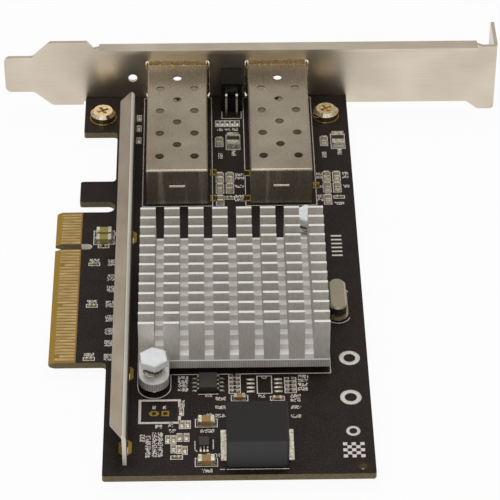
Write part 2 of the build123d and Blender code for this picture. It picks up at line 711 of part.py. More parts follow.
for side, centre, filter_line in PORTS:
    left_wall = centre - CAGE_WIDTH / 2
    right_wall = centre + CAGE_WIDTH / 2

    with BuildPart() as cage_shell:
        with BuildSketch(Plane((centre, CAGE_FRONT_Y, 0), (1, 0, 0), (0, -1, 0))) as section:
            with Locations((0, CAGE_STANDOFF)):
                Rectangle(CAGE_WIDTH, CAGE_HEIGHT, align=(Align.CENTER, Align.MIN))
            chamfer(section.vertices().group_by(Axis.Y)[-1], CAGE_BEND)
            with Locations((0, CAGE_STANDOFF)):
                Rectangle(
                    CAGE_INNER_WIDTH, CAGE_HEIGHT - CAGE_SHEET,
                    align=(Align.CENTER, Align.MIN), mode=Mode.SUBTRACT,
                )
        extrude(amount=CAGE_FRONT_Y - CAGE_REAR_Y)
        with BuildSketch(Plane((centre, CAGE_REAR_Y + CAGE_SHEET, 0), (1, 0, 0), (0, -1, 0))):
            with Locations((0, CAGE_STANDOFF)):
                Rectangle(
                    CAGE_WIDTH - CAGE_SHEET, CAGE_HEIGHT - CAGE_SHEET,
                    align=(Align.CENTER, Align.MIN),
                )
            with Locations((0, LIP_TOP)):
                Rectangle(
                    LIP_WIDTH, LIP_SLOT, align=(Align.CENTER, Align.MIN), mode=Mode.SUBTRACT
                )
        extrude(amount=CAGE_SHEET)
        with BuildSketch(Plane((centre, CAGE_REAR_Y + CAGE_SHEET, 0), (1, 0, 0), (0, -1, 0))):
            with Locations((0, LIP_TOP)):
                Rectangle(LIP_WIDTH, CAGE_SHEET, align=(Align.CENTER, Align.MAX))
        extrude(amount=CAGE_SHEET + LIP_REACH)
        rear_edge = cage_shell.edges().filter_by(Axis.X).group_by(Axis.Z)[-1].sort_by(Axis.Y)[0]
        fillet(rear_edge, REAR_BEND_R)
        with BuildSketch(Plane((centre, 0, CAGE_TOP))):
            with Locations(*VENTS_MIDDLE, *VENTS_SIDES):
                RegularPolygon(VENT_R, VENT_SIDES)
        extrude(amount=-CAGE_SHEET, mode=Mode.SUBTRACT)
        for wall_x in (left_wall, right_wall - CAGE_SHEET):
            with BuildSketch(Plane.YZ.offset(wall_x)):
                with Locations(*[(pin_y, CAGE_STANDOFF) for pin_y in CAGE_PINS_Y]):
                    Polygon(
                        (-CAGE_PIN_WIDTH / 2, CAGE_SHEET), (CAGE_PIN_WIDTH / 2, CAGE_SHEET),
                        (CAGE_PIN_WIDTH / 2, CAGE_PIN_SHOULDER - CAGE_PIN_LENGTH),
                        (CAGE_PIN_TIP_WIDTH / 2, -CAGE_PIN_LENGTH),
                        (-CAGE_PIN_TIP_WIDTH / 2, -CAGE_PIN_LENGTH),
                        (-CAGE_PIN_WIDTH / 2, CAGE_PIN_SHOULDER - CAGE_PIN_LENGTH),
                        align=None,
                    )
            extrude(amount=CAGE_SHEET)
    save(cage_shell, f"{side}_cage_shell")

    with BuildPart() as cage_floor:
        with BuildSketch(Plane((centre, CAGE_FRONT_Y, CAGE_STANDOFF))):
            Rectangle(
                CAGE_INNER_WIDTH - 2 * FLOOR_CLEARANCE, CAGE_FRONT_Y - FLOOR_REAR_Y,
                align=(Align.CENTER, Align.MAX),
            )
            for sign in (-1, 1):
                with Locations((sign * (LATCH_WIDTH + LATCH_SLIT) / 2, 0)):
                    Rectangle(
                        LATCH_SLIT, LATCH_LENGTH, align=(Align.CENTER, Align.MAX),
                        mode=Mode.SUBTRACT,
                    )
            with Locations((0, -LATCH_HOLE_Y)):
                RegularPolygon(LATCH_HOLE_R, 3, rotation=-90, mode=Mode.SUBTRACT)
        extrude(amount=CAGE_SHEET)
    save(cage_floor, f"{side}_cage_floor")

    with BuildPart() as spring_band:
        with BuildSketch(Plane((centre, BAND_FRONT_Y, 0), (1, 0, 0), (0, -1, 0))) as ring:
            with Locations((0, CAGE_STANDOFF - SPRING_SHEET)):
                Rectangle(
                    CAGE_WIDTH + 2 * SPRING_SHEET, CAGE_HEIGHT + 2 * SPRING_SHEET,
                    align=(Align.CENTER, Align.MIN),
                )
            chamfer(ring.vertices().group_by(Axis.Y)[-1], CAGE_BEND + SPRING_SHEET / 2)
            offset(amount=-SPRING_SHEET, kind=Kind.INTERSECTION, mode=Mode.SUBTRACT)
        extrude(amount=SPRING_BAND_LENGTH)
        with BuildSketch(Plane((centre, BAND_FLOOR_Y, CAGE_STANDOFF))):
            Rectangle(
                WINDOW_WIDTH, BAND_FLOOR_Y - BAND_REAR_Y, align=(Align.CENTER, Align.MAX)
            )
        extrude(amount=-SPRING_REACH, mode=Mode.SUBTRACT)
        for index in range(TOP_FINGERS):
            finger_x = centre + (index - (TOP_FINGERS - 1) / 2) * SPRING_FINGER_PITCH
            start = (finger_x - SPRING_FINGER_WIDTH / 2, FINGERS_Y, CAGE_TOP + SPRING_SHEET)
            with BuildSketch(Plane(start, (0, 1, 0), (1, 0, 0))):
                add(finger.sketch)
            extrude(amount=SPRING_FINGER_WIDTH)
        for index in range(SIDE_FINGERS):
            finger_z = FINGERS_SIDE_Z + (index - (SIDE_FINGERS - 1) / 2) * SPRING_FINGER_PITCH
            for wall_x, sign in (
                (left_wall - SPRING_SHEET, 1), (right_wall + SPRING_SHEET, -1),
            ):
                start = (wall_x, FINGERS_Y, finger_z - sign * SPRING_FINGER_WIDTH / 2)
                with BuildSketch(Plane(start, (0, 1, 0), (0, 0, sign))):
                    add(finger.sketch)
                extrude(amount=SPRING_FINGER_WIDTH)
    save(spring_band, f"{side}_spring_band")

    with BuildPart() as host_connector:
        with BuildSketch(Plane.YZ.offset(centre - HOST_WIDTH / 2)):
            Polygon(
                (HOST_REAR_Y, 0), (HOST_FRONT_Y - HOST_NOSE_DEPTH, 0),
                (HOST_FRONT_Y - HOST_NOSE_DEPTH, HOST_NOSE_BOTTOM),
                (HOST_FRONT_Y, HOST_NOSE_BOTTOM), (HOST_FRONT_Y, HOST_HEIGHT),
                (HOST_REAR_Y, HOST_HEIGHT), align=None,
            )
        extrude(amount=HOST_WIDTH)
        with BuildSketch(Plane((centre, HOST_FRONT_Y, CARD_SLOT_Z), (1, 0, 0), (0, -1, 0))):
            Rectangle(CARD_SLOT_WIDTH, CARD_SLOT_HEIGHT)
        extrude(amount=CARD_SLOT_DEPTH, mode=Mode.SUBTRACT)
        with BuildSketch(Plane.YZ.offset(centre - HOST_CHANNEL_WIDTH / 2)):
            add(contact_pair.sketch)
            offset(amount=HOST_CONTACT_CLEARANCE, kind=Kind.INTERSECTION)
        extrude(amount=HOST_CHANNEL_WIDTH, mode=Mode.SUBTRACT)
    save(host_connector, f"{side}_host_connector")

    with BuildPart() as host_contacts:
        for index in range(HOST_CONTACTS):
            contact_x = centre + (index - (HOST_CONTACTS - 1) / 2) * HOST_CONTACT_PITCH
            with BuildSketch(Plane.YZ.offset(contact_x - HOST_CONTACT_WIDTH / 2)):
                add(contact_pair.sketch)
            extrude(amount=HOST_CONTACT_WIDTH)
    save(host_contacts, f"{side}_host_contacts")


# Indicator lamp between the ports: holder, lamp and bent leads
HOLDER_FRONT_Y = BRACKET_Y - HOLDER_GAP
LAMP_RIM_Y = LAMP_REAR_Y + LAMP_RIM_H

with BuildPart() as lamp_holder:
    with BuildSketch(Plane((LAMP_X, HOLDER_FRONT_Y, 0), (1, 0, 0), (0, -1, 0))):
        Rectangle(HOLDER_WIDTH, HOLDER_HEIGHT, align=(Align.CENTER, Align.MIN))
        with Locations((0, LAMP_Z)):
            RegularPolygon(LAMP_R + LAMP_CLEARANCE, HOLE_SIDES, mode=Mode.SUBTRACT)
    extrude(amount=HOLDER_FRONT_Y - HOLDER_REAR_Y)
    with BuildSketch(Plane((LAMP_X, HOLDER_REAR_Y, LAMP_Z), (1, 0, 0), (0, -1, 0))):
        RegularPolygon(LAMP_RIM_R + LAMP_CLEARANCE, HOLE_SIDES)
    extrude(amount=HOLDER_REAR_Y - LAMP_RIM_Y, mode=Mode.SUBTRACT)
save(lamp_holder, "lamp_holder")

with BuildPart() as port_lamp:
    for start_y, end_y, radius in (
        (LAMP_REAR_Y, LAMP_RIM_Y, LAMP_RIM_R), (LAMP_RIM_Y, LAMP_TIP_Y, LAMP_R),
    ):
        with BuildSketch(Plane((LAMP_X, start_y, LAMP_Z), (-1, 0, 0), (0, 1, 0))):
            RegularPolygon(radius, HOLE_SIDES)
        extrude(amount=end_y - start_y)
    chamfer(port_lamp.faces().sort_by(Axis.Y)[-1].edges(), LAMP_CROWN)
save(port_lamp, "port_lamp")

with BuildPart() as lamp_leads:
    for lead_x, lead_y in LAMP_LEADS:
        with BuildSketch(Plane.YZ.offset(lead_x - LAMP_LEAD / 2)) as lead:
            corner = (lead_y - LAMP_LEAD / 2, LAMP_Z + LAMP_LEAD / 2)
            with Locations(corner):
                Rectangle(
                    LAMP_REAR_Y - lead_y + LAMP_LEAD / 2, LAMP_LEAD,
                    align=(Align.MIN, Align.MAX),
                )
                Rectangle(
                    LAMP_LEAD, LAMP_Z + LAMP_LEAD / 2 + LAMP_LEAD_DROP,
                    align=(Align.MIN, Align.MAX),
                )
            chamfer(nearest(lead, [corner]), LAMP_LEAD_BEND)
        extrude(amount=LAMP_LEAD)
save(lamp_leads, "lamp_leads")


# Network controller: package substrate with its mould
with BuildPart() as network_controller:
    with BuildSketch(Plane((SINK_X, SINK_Y, 0))):
        Rectangle(CHIP_SIDE, CHIP_SIDE)
    extrude(amount=CHIP_SUBSTRATE)
    with BuildSketch(Plane((SINK_X, SINK_Y, CHIP_SUBSTRATE))):
        Rectangle(CHIP_MOULD_SIDE, CHIP_MOULD_SIDE)
    extrude(amount=CHIP_HEIGHT - CHIP_SUBSTRATE)
save(network_controller, "network_controller")

with BuildPart() as thermal_pad:
    with BuildSketch(Plane((SINK_X, SINK_Y, CHIP_HEIGHT))):
        Rectangle(THERMAL_PAD_SIDE, THERMAL_PAD_SIDE)
    extrude(amount=THERMAL_PAD)
save(thermal_pad, "thermal_pad")


# Heat sink: base plate with two ears for the push pins, and cross-cut fins on low stubs
with BuildPart() as heat_sink:
    with BuildSketch(Plane((SINK_X, SINK_Y, SINK_BOTTOM))):
        Rectangle(SINK_WIDTH, SINK_LENGTH)
        for sign in (-1, 1):
            with Locations((
                sign * (SINK_WIDTH / 2 - PIN_OFFSET_X), sign * (SINK_LENGTH / 2 + PIN_OFFSET_Y)
            )):
                RegularPolygon(SINK_EAR_R, HEAD_SIDES)
                Rectangle(
                    2 * SINK_EAR_R, PIN_OFFSET_Y,
                    align=(Align.CENTER, Align.MAX if sign > 0 else Align.MIN),
                )
                RegularPolygon(PIN_R + PIN_CLEARANCE, HOLE_SIDES, mode=Mode.SUBTRACT)
    extrude(amount=SINK_BASE)
    with BuildSketch(Plane((SINK_X, SINK_Y, SINK_TOP))):
        with GridLocations(0, FIN_PITCH_Y, 1, FIN_ROWS):
            Rectangle(SINK_WIDTH, FIN_THICKNESS)
    extrude(amount=FIN_STUB_HEIGHT)
    with BuildSketch(Plane((SINK_X, SINK_Y, SINK_TOP))):
        with GridLocations(FIN_PITCH_X, FIN_PITCH_Y, FIN_COLUMNS, FIN_ROWS):
            Rectangle(FIN_WIDTH, FIN_THICKNESS)
    extrude(amount=FIN_HEIGHT)
save(heat_sink, "heat_sink")


# Push pins with split barbs under the board, and the coil springs under their heads
PIN_SHOULDER_Z = PIN_HEAD_TOP - PIN_HEAD_HEIGHT
BARB_TOP = BOARD_BACK - BARB_GAP
PIN_TIP = BARB_TOP - BARB_LENGTH

with BuildPart() as push_pins:
    for pin_x, pin_y in PUSH_PINS:
        with BuildSketch(Plane((pin_x, pin_y, PIN_SHOULDER_Z))):
            RegularPolygon(
                PIN_HEAD_FLATS / 2, 6, major_radius=False, rotation=PIN_HEAD_TURN
            )
        extrude(amount=PIN_HEAD_HEIGHT)
        with BuildSketch(Plane((pin_x, pin_y, PIN_SHOULDER_Z))):
            RegularPolygon(PIN_R, HOLE_SIDES)
        extrude(amount=BARB_TOP - PIN_SHOULDER_Z)
        with BuildSketch(Plane((pin_x, pin_y, BARB_TOP))):
            RegularPolygon(BARB_R, HOLE_SIDES)
        extrude(amount=-BARB_LENGTH)
    for level, cut in ((-1, PIN_HEAD_CHAMFER), (0, BARB_TIP)):
        chamfer(push_pins.faces().group_by(Axis.Z)[level].edges(), cut)
    with BuildSketch(Plane.XY.offset(PIN_TIP)):
        with Locations(*PUSH_PINS):
            Rectangle(BARB_SLIT, 2 * BARB_R)
    extrude(amount=BARB_LENGTH + BOARD_THICKNESS, mode=Mode.SUBTRACT)
save(push_pins, "push_pins")

COIL_LOW = SINK_TOP + SPRING_GAP + SPRING_WIRE / 2
COIL_RISE = PIN_SHOULDER_Z - SPRING_GAP - SPRING_WIRE / 2 - COIL_LOW

with BuildPart() as push_pin_springs:
    for pin_x, pin_y in PUSH_PINS:
        with BuildLine(mode=Mode.PRIVATE) as coil:
            Polyline(*[
                (
                    pin_x + SPRING_R * cos(2 * pi * step / SPRING_STEPS),
                    pin_y + SPRING_R * sin(2 * pi * step / SPRING_STEPS),
                    COIL_LOW + COIL_RISE * step / (SPRING_STEPS * SPRING_TURNS),
                )
                for step in range(SPRING_STEPS * SPRING_TURNS + 1)
            ])
        with BuildSketch(Plane(coil.line @ 0, z_dir=coil.line % 0)):
            RegularPolygon(SPRING_WIRE / 2, 4)
        sweep(path=coil.line, transition=Transition.RIGHT)
save(push_pin_springs, "push_pin_springs")


# Stiffening bar: an L section with a chamfered flange and lugs through the board
with BuildPart() as stiffening_bar:
    with BuildSketch(Plane.XZ.offset(-BAR_FRONT_Y)) as bar_section:
        with Locations((BAR_WALL_X, BAR_HEIGHT)):
            Rectangle(BAR_WALL_X - BAR_FLANGE_X, BAR_SHEET, align=(Align.MAX, Align.MAX))
            Rectangle(BAR_SHEET, BAR_HEIGHT - PAD_THICKNESS, align=(Align.MAX, Align.MAX))
        fillet(nearest(bar_section, [(BAR_WALL_X, BAR_HEIGHT)]), BAR_BEND_R + BAR_SHEET)
        fillet(
            nearest(bar_section, [(BAR_WALL_X - BAR_SHEET, BAR_HEIGHT - BAR_SHEET)]), BAR_BEND_R
        )
    extrude(amount=BAR_FRONT_Y - BAR_REAR_Y)
    for end_y, inward in ((BAR_FRONT_Y, -1), (BAR_REAR_Y, 1)):
        with BuildSketch(Plane.XY.offset(BAR_HEIGHT - BAR_SHEET)):
            Polygon(
                (BAR_FLANGE_X, end_y), (BAR_FLANGE_X + BAR_CHAMFER_X, end_y),
                (BAR_FLANGE_X, end_y + inward * BAR_CHAMFER_Y), align=None,
            )
        extrude(amount=BAR_SHEET, mode=Mode.SUBTRACT)
    with BuildSketch(Plane.YZ.offset(BAR_WALL_X - BAR_SHEET)):
        with Locations(*[(lug_y, PAD_THICKNESS) for lug_y in BAR_LUGS_Y]):
            Rectangle(
                BAR_LUG_LENGTH, BAR_LUG_DROP + PAD_THICKNESS, align=(Align.CENTER, Align.MAX)
            )
    extrude(amount=BAR_SHEET)
save(stiffening_bar, "stiffening_bar")


# Crystal: oval can on its rim, with two leads through the board
with BuildPart() as crystal_can:
    with BuildSketch(Plane((CRYSTAL_X, CRYSTAL_Y, 0))):
        add(oval(CRYSTAL_WIDTH + 2 * CRYSTAL_RIM, CRYSTAL_LENGTH + 2 * CRYSTAL_RIM))
    extrude(amount=CRYSTAL_BASE)
    with BuildSketch(Plane((CRYSTAL_X, CRYSTAL_Y, CRYSTAL_BASE))):
        add(oval(CRYSTAL_WIDTH, CRYSTAL_LENGTH))
    extrude(amount=CRYSTAL_HEIGHT - CRYSTAL_BASE)
    chamfer(crystal_can.faces().sort_by(Axis.Z)[-1].edges(), CRYSTAL_CROWN)
save(crystal_can, "crystal_can")

with BuildPart() as crystal_leads:
    with BuildSketch(Plane.XY):
        with Locations(*CRYSTAL_LEADS):
            RegularPolygon(CRYSTAL_LEAD_R, DRILL_SIDES)
    extrude(amount=-CRYSTAL_LEAD_DROP)
save(crystal_leads, "crystal_leads")


# Power inductor: ferrite block with a flat strap through it, bent down into two feet
STRAP_TOP = STRAP_Z + STRAP_THICKNESS / 2
STRAP_HALF = COIL_WIDTH / 2 - STRAP_INSET
STRAP_RECESS = STRAP_INSET + STRAP_THICKNESS + STRAP_CLEARANCE

with BuildPart() as power_inductor_core:
    with BuildSketch(Plane((COIL_X, COIL_Y, COIL_STANDOFF))) as core:
        Rectangle(COIL_WIDTH, COIL_LENGTH)
        chamfer(core.vertices(), COIL_CORNER)
    extrude(amount=COIL_HEIGHT - COIL_STANDOFF)
    chamfer(power_inductor_core.faces().sort_by(Axis.Z)[-1].edges(), COIL_CHAMFER)
    with BuildSketch(Plane((COIL_X, COIL_Y, STRAP_Z), (0, 1, 0), (1, 0, 0))):
        Rectangle(STRAP_WIDTH + 2 * STRAP_CLEARANCE, STRAP_THICKNESS + 2 * STRAP_CLEARANCE)
    extrude(amount=COIL_WIDTH / 2, both=True, mode=Mode.SUBTRACT)
    with BuildSketch(Plane((COIL_X, COIL_Y, 0))):
        with Locations((-COIL_WIDTH / 2, 0), (COIL_WIDTH / 2, 0)):
            Rectangle(2 * STRAP_RECESS, STRAP_WIDTH + 2 * STRAP_CLEARANCE)
    extrude(amount=STRAP_TOP + STRAP_CLEARANCE, mode=Mode.SUBTRACT)
save(power_inductor_core, "power_inductor_core")

with BuildPart() as power_inductor_strap:
    strap_plane = Plane((COIL_X, COIL_Y + STRAP_WIDTH / 2, 0), (1, 0, 0), (0, -1, 0))
    with BuildSketch(strap_plane) as strap:
        with Locations((0, STRAP_Z)):
            Rectangle(2 * STRAP_HALF, STRAP_THICKNESS)
        for sign in (-1, 1):
            with Locations((sign * (STRAP_HALF - STRAP_THICKNESS / 2), 0)):
                Rectangle(STRAP_THICKNESS, STRAP_TOP, align=(Align.CENTER, Align.MIN))
            with Locations((sign * (STRAP_HALF + STRAP_FOOT / 2), 0)):
                Rectangle(STRAP_FOOT, STRAP_THICKNESS, align=(Align.CENTER, Align.MIN))
    extrude(amount=STRAP_WIDTH)
save(power_inductor_strap, "power_inductor_strap")


# Flash memory: moulded body with draft above and below the parting line, gull-wing leads
def gull_wing(half_body, half_span, foot, shoulder_z):
    """The outline of one bent lead beside its body: X across the package, Y its height."""
    knee = half_span - foot
    with BuildSketch() as bent:
        Polygon(
            (half_body, shoulder_z), (half_body, shoulder_z + LEAD_THICKNESS),
            (knee - LEAD_LEAN, shoulder_z + LEAD_THICKNESS), (knee + LEAD_LEAN, LEAD_THICKNESS),
            (half_span, LEAD_THICKNESS), (half_span, 0), (knee - LEAD_LEAN, 0),
            (knee - LEAD_LEAN - LEAD_THICKNESS, shoulder_z), align=None,
        )
    return bent.sketch


FLASH_MIDDLE = (BODY_STANDOFF + FLASH_HEIGHT) / 2
FLASH_LEAD = gull_wing(
    FLASH_WIDTH / 2, LEAD_SPAN / 2, LEAD_FOOT, FLASH_MIDDLE - LEAD_THICKNESS / 2
)

with BuildPart() as flash_memory_body:
    for direction in (-1, 1):
        with BuildSketch(Plane((FLASH_X, FLASH_Y, FLASH_MIDDLE))):
            Rectangle(FLASH_WIDTH, FLASH_LENGTH)
        extrude(amount=direction * (FLASH_HEIGHT - BODY_STANDOFF) / 2, taper=BODY_DRAFT)
save(flash_memory_body, "flash_memory_body")

with BuildPart() as flash_memory_leads:
    for index in range(FLASH_LEADS_PER_SIDE):
        lead_y = FLASH_Y + (index - (FLASH_LEADS_PER_SIDE - 1) / 2) * LEAD_PITCH
        start = (FLASH_X, lead_y + LEAD_WIDTH / 2, 0)
        with BuildSketch(Plane(start, (1, 0, 0), (0, -1, 0))):
            add(FLASH_LEAD)
            mirror(FLASH_LEAD, about=Plane.YZ)
        extrude(amount=LEAD_WIDTH)
save(flash_memory_leads, "flash_memory_leads")


# Load switch: a small moulded body with three leads on each end
SWITCH_MIDDLE = (BODY_STANDOFF + SWITCH_HEIGHT) / 2
SWITCH_LEAD = gull_wing(
    SWITCH_LENGTH / 2, SWITCH_SPAN / 2, SWITCH_FOOT, SWITCH_MIDDLE - LEAD_THICKNESS / 2
)

with BuildPart() as load_switch_body:
    for direction in (-1, 1):
        with BuildSketch(Plane((SWITCH_X, SWITCH_Y, SWITCH_MIDDLE))):
            Rectangle(SWITCH_WIDTH, SWITCH_LENGTH)
        extrude(amount=direction * (SWITCH_HEIGHT - BODY_STANDOFF) / 2, taper=BODY_DRAFT)
save(load_switch_body, "load_switch_body")

with BuildPart() as load_switch_leads:
    for index in range(SWITCH_LEADS_PER_SIDE):
        lead_x = SWITCH_X + (index - (SWITCH_LEADS_PER_SIDE - 1) / 2) * SWITCH_PITCH
        start = (lead_x - SWITCH_LEAD_WIDTH / 2, SWITCH_Y, 0)
        with BuildSketch(Plane(start, (0, 1, 0), (1, 0, 0))):
            add(SWITCH_LEAD)
            mirror(SWITCH_LEAD, about=Plane.YZ)
        extrude(amount=SWITCH_LEAD_WIDTH)
save(load_switch_leads, "load_switch_leads")


# Chip parts: each lot has a size, a direction and its places
def column(x, middle_y, count):
    """Places of chips in a column at the pitch of the flash memory's leads."""
    return [(x, middle_y + (index - (count - 1) / 2) * LEAD_PITCH) for index in range(count)]


FILTER_LINES_X = [centre + filter_line for side, centre, filter_line in PORTS]
FLASH_BANK_Y = SPARE_FOOTPRINT_Y + LEAD_PITCH / 2
CHIP_KINDS = (
    ("large_capacitor", ((SIZE_1206, ALONG_X, LARGE_CAPACITORS + EDGE_CAPACITORS),)),
    ("ceramic_capacitor", (
        (SIZE_0402, ALONG_Y, HEADER_CHIPS + SWITCH_CHIPS),
        (SIZE_0402, ALONG_X, (SWITCH_CROSS_CHIP,) + TONGUE_CHIPS + PORT_CHIPS),
        (SIZE_0402, ALONG_Y, BAR_CHIPS),
        (SIZE_0805, ALONG_X, (FLASH_CAPACITOR,)),
        (SIZE_0603, ALONG_X, (SPARE_CAPACITOR,)),
    )),
    ("chip_resistor", (
        (SIZE_0402, ALONG_X, column(FLASH_BANK_X, FLASH_BANK_Y, FLASH_BANK_COUNT)),
        (SIZE_0402, ALONG_X, column(SPARE_BANK_X, SPARE_FOOTPRINT_Y, SPARE_BANK_COUNT)),
        (SIZE_0402, ALONG_X, (EDGE_CHIP,)),
        (SIZE_0402, ALONG_Y, LAMP_CHIPS),
    )),
    ("port_filter", (
        (SIZE_0805, ALONG_Y, [(x, y) for x in FILTER_LINES_X for y in FILTER_ROWS_Y]),
        (SIZE_0805, ALONG_Y, [
            (x + FILTER_PAIR_X, y) for x in FILTER_LINES_X for y in FILTER_ROWS_Y[:2]
        ]),
        (SIZE_0805, ALONG_Y, [(x, FILTER_FRONT_Y) for x in FILTER_LINES_X]),
    )),
    ("port_choke", (
        (SIZE_1812, ALONG_Y, [(x + CHOKE_X, FILTER_FRONT_Y) for x in FILTER_LINES_X]),
    )),
)

for kind, lots in CHIP_KINDS:
    with BuildPart() as bodies:
        for (length, width, height, end), turn, places in lots:
            with BuildSketch(Plane.XY.offset(END_WRAP)):
                with Locations(*places):
                    Rectangle(length - 2 * end, width - 2 * END_WRAP, rotation=turn)
            extrude(amount=height - 2 * END_WRAP)
    save(bodies, f"{kind}_bodies")
    with BuildPart() as ends:
        for (length, width, height, end), turn, places in lots:
            with BuildSketch(Plane.XY):
                with Locations(*[Location((x, y, 0), (0, 0, turn)) for x, y in places]):
                    with GridLocations(length - end, 0, 2, 1):
                        Rectangle(end, width)
            extrude(amount=height)
    save(ends, f"{kind}_ends")
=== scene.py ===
"""Dresses a network interface card: finishes, board print, vias, solder, stage and camera."""
import json
import math
import random

import bmesh
import bpy
from mathutils import Matrix, Vector
from mathutils.bvhtree import BVHTree

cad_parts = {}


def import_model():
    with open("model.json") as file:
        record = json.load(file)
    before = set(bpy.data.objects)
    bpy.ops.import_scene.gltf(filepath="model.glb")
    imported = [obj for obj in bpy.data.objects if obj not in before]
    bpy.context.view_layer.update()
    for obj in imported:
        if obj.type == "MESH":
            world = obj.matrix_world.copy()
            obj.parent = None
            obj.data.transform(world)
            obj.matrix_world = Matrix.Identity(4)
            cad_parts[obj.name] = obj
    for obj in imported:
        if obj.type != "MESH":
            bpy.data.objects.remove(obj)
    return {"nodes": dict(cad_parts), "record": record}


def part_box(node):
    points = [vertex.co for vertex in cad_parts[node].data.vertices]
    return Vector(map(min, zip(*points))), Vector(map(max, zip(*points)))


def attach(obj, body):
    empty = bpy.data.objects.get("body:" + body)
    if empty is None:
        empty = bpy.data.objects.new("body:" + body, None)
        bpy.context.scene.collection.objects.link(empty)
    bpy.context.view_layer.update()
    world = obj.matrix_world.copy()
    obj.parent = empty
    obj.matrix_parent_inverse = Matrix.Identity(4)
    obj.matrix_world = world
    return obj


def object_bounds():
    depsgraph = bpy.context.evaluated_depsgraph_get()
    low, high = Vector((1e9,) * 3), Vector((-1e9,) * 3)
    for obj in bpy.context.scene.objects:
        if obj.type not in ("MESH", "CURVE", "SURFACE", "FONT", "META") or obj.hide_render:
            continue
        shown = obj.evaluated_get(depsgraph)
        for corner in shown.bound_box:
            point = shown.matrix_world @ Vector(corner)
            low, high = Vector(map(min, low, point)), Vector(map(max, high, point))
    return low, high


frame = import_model()
CAD_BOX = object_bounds()

bl_info = {
    "name": "Network Card Dresser",
    "version": (1, 0, 0),
    "blender": (4, 5, 0),
    "location": "View3D > Sidebar > Network Card",
    "description": "Finishes, board print, solder and studio for a network interface card",
    "category": "Object",
}

MM = 0.001
BODY = "root"
BOARD_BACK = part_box("circuit_board")[0].z
FLOOR_GAP = 0.02 * MM
FLOOR_Z = CAD_BOX[0][2] - FLOOR_GAP

# The board's print: heights over it, places and widths, in millimetres
PRINT_Z = 0.012
PRINT_THICKNESS = 0.02
LINE_WIDTH = 0.2
HEADER_FRAME = (19.99, -58.78, 28.37, -51.84)
SPARE_OUTLINE = (44.9, -50.0, 48.0, -44.5)
SPARE_NOTCH = 0.55
LAMP_FRAME = (38.4, 48.7, 43.1, 57.0)
LEFT_CAGE_FRAME = (19.6, 14.5, 35.9, 57.3)
RIGHT_CAGE_FRAME = (43.6, 14.5, 60.1, 57.3)
SINK_MARGIN = 0.3
SINK_LINE_STOP = 9
PIN_RING = 3.5
PIN_TO_BASE = 4.25
CRYSTAL_ARC_INSET = 2.3
CRYSTAL_ARC_RADIUS = 2.75

# Lines beside three parts: both ends' x and y as (side, offset) of the part's box, where side 0
# is its low side and 1 its high side, and offsets are in millimetres
PART_MARKS = {
    "power_inductor_core": (
        ((0, 0.0), (0, -0.55), (1, 0.0), (0, -0.55)),
        ((0, -1.4), (0, -0.55), (0, -0.3), (0, -0.55)),
    ),
    "load_switch_body": (
        ((0, -0.8), (0, -0.2), (0, -0.8), (1, -0.4)),
        ((0, -0.8), (0, -0.4), (0, -0.3), (0, -0.9)),
        ((1, 0.8), (0, -0.2), (1, 0.8), (1, 0.0)),
    ),
    "flash_memory_body": (((0, -0.2), (0, -0.4), (1, 0.2), (0, -0.4)),),
}

# Printed ticks: cells of ink spots, in millimetres
CELL_WIDTH = 0.62
CELL_HEIGHT = 1.0
CELL_PITCH = 0.74
CELL_GAP = 0.15
TICK_SPOT = 0.19
TICK_FILL = 0.62
SEED = 7

# Rows of printed ticks beside the parts: x and y of the middle, and number of cells. One table
# has the rows that run across, the other those that run down
TICKS_ACROSS = (
    (42.3, 26.3, 3), (42.3, 25.0, 3), (42.24, 21.8, 3), (42.2, 18.0, 3), (42.2, 16.7, 3),
    (61.1, 26.3, 2), (61.1, 25.0, 2), (61.1, 21.4, 2), (61.0, 17.8, 2), (61.0, 16.5, 2),
    (67.2, 26.4, 2), (67.2, 25.1, 2), (67.3, 21.5, 2), (65.35, 15.0, 3), (34.56, -50.4, 2),
    (37.1, -51.5, 3), (37.0, -54.2, 3), (37.0, -56.8, 3), (54.8, -44.8, 3), (54.7, -46.1, 3),
    (54.7, -47.4, 3), (54.6, -48.7, 3), (53.0, -50.9, 3), (52.9, -52.2, 3), (53.0, -54.4, 3),
    (52.9, -57.2, 3), (45.8, -50.8, 2), (24.0, -59.9, 2), (34.1, -73.3, 3), (34.3, -56.6, 3),
    (34.2, -61.4, 4), (35.5, -68.7, 4), (23.0, -54.0, 1), (25.2, -54.0, 1), (29.1, -44.8, 3),
    (29.1, -46.1, 3), (29.1, -47.3, 3), (29.1, -48.6, 3), (9.05, -4.9, 3), (8.9, -19.3, 3),
    (8.75, -37.0, 3), (37.9, 44.2, 2), (39.7, 44.2, 2), (41.5, 44.2, 2), (26.9, -61.3, 2),
)
TICKS_DOWN = (
    (37.9, 33.7, 3), (41.1, 34.7, 3), (62.6, 33.8, 3), (66.3, 34.9, 3), (28.9, -52.9, 3),
    (26.5, -59.4, 2), (20.65, -63.4, 3), (21.85, -65.9, 9), (23.2, -65.4, 10), (24.4, -65.4, 10),
    (12.6, -5.8, 3), (13.6, -5.8, 3), (12.6, -11.0, 3), (13.6, -11.0, 3), (12.6, -15.0, 3),
    (13.6, -15.0, 3), (12.5, -20.2, 3), (13.5, -20.2, 3), (12.5, -25.0, 3), (13.5, -25.0, 3),
    (12.5, -29.4, 3), (13.5, -29.4, 3), (12.5, -33.4, 3), (13.5, -33.4, 3), (12.5, -37.9, 3),
    (13.5, -37.9, 3), (13.4, 4.5, 2), (13.4, 1.5, 2),
)

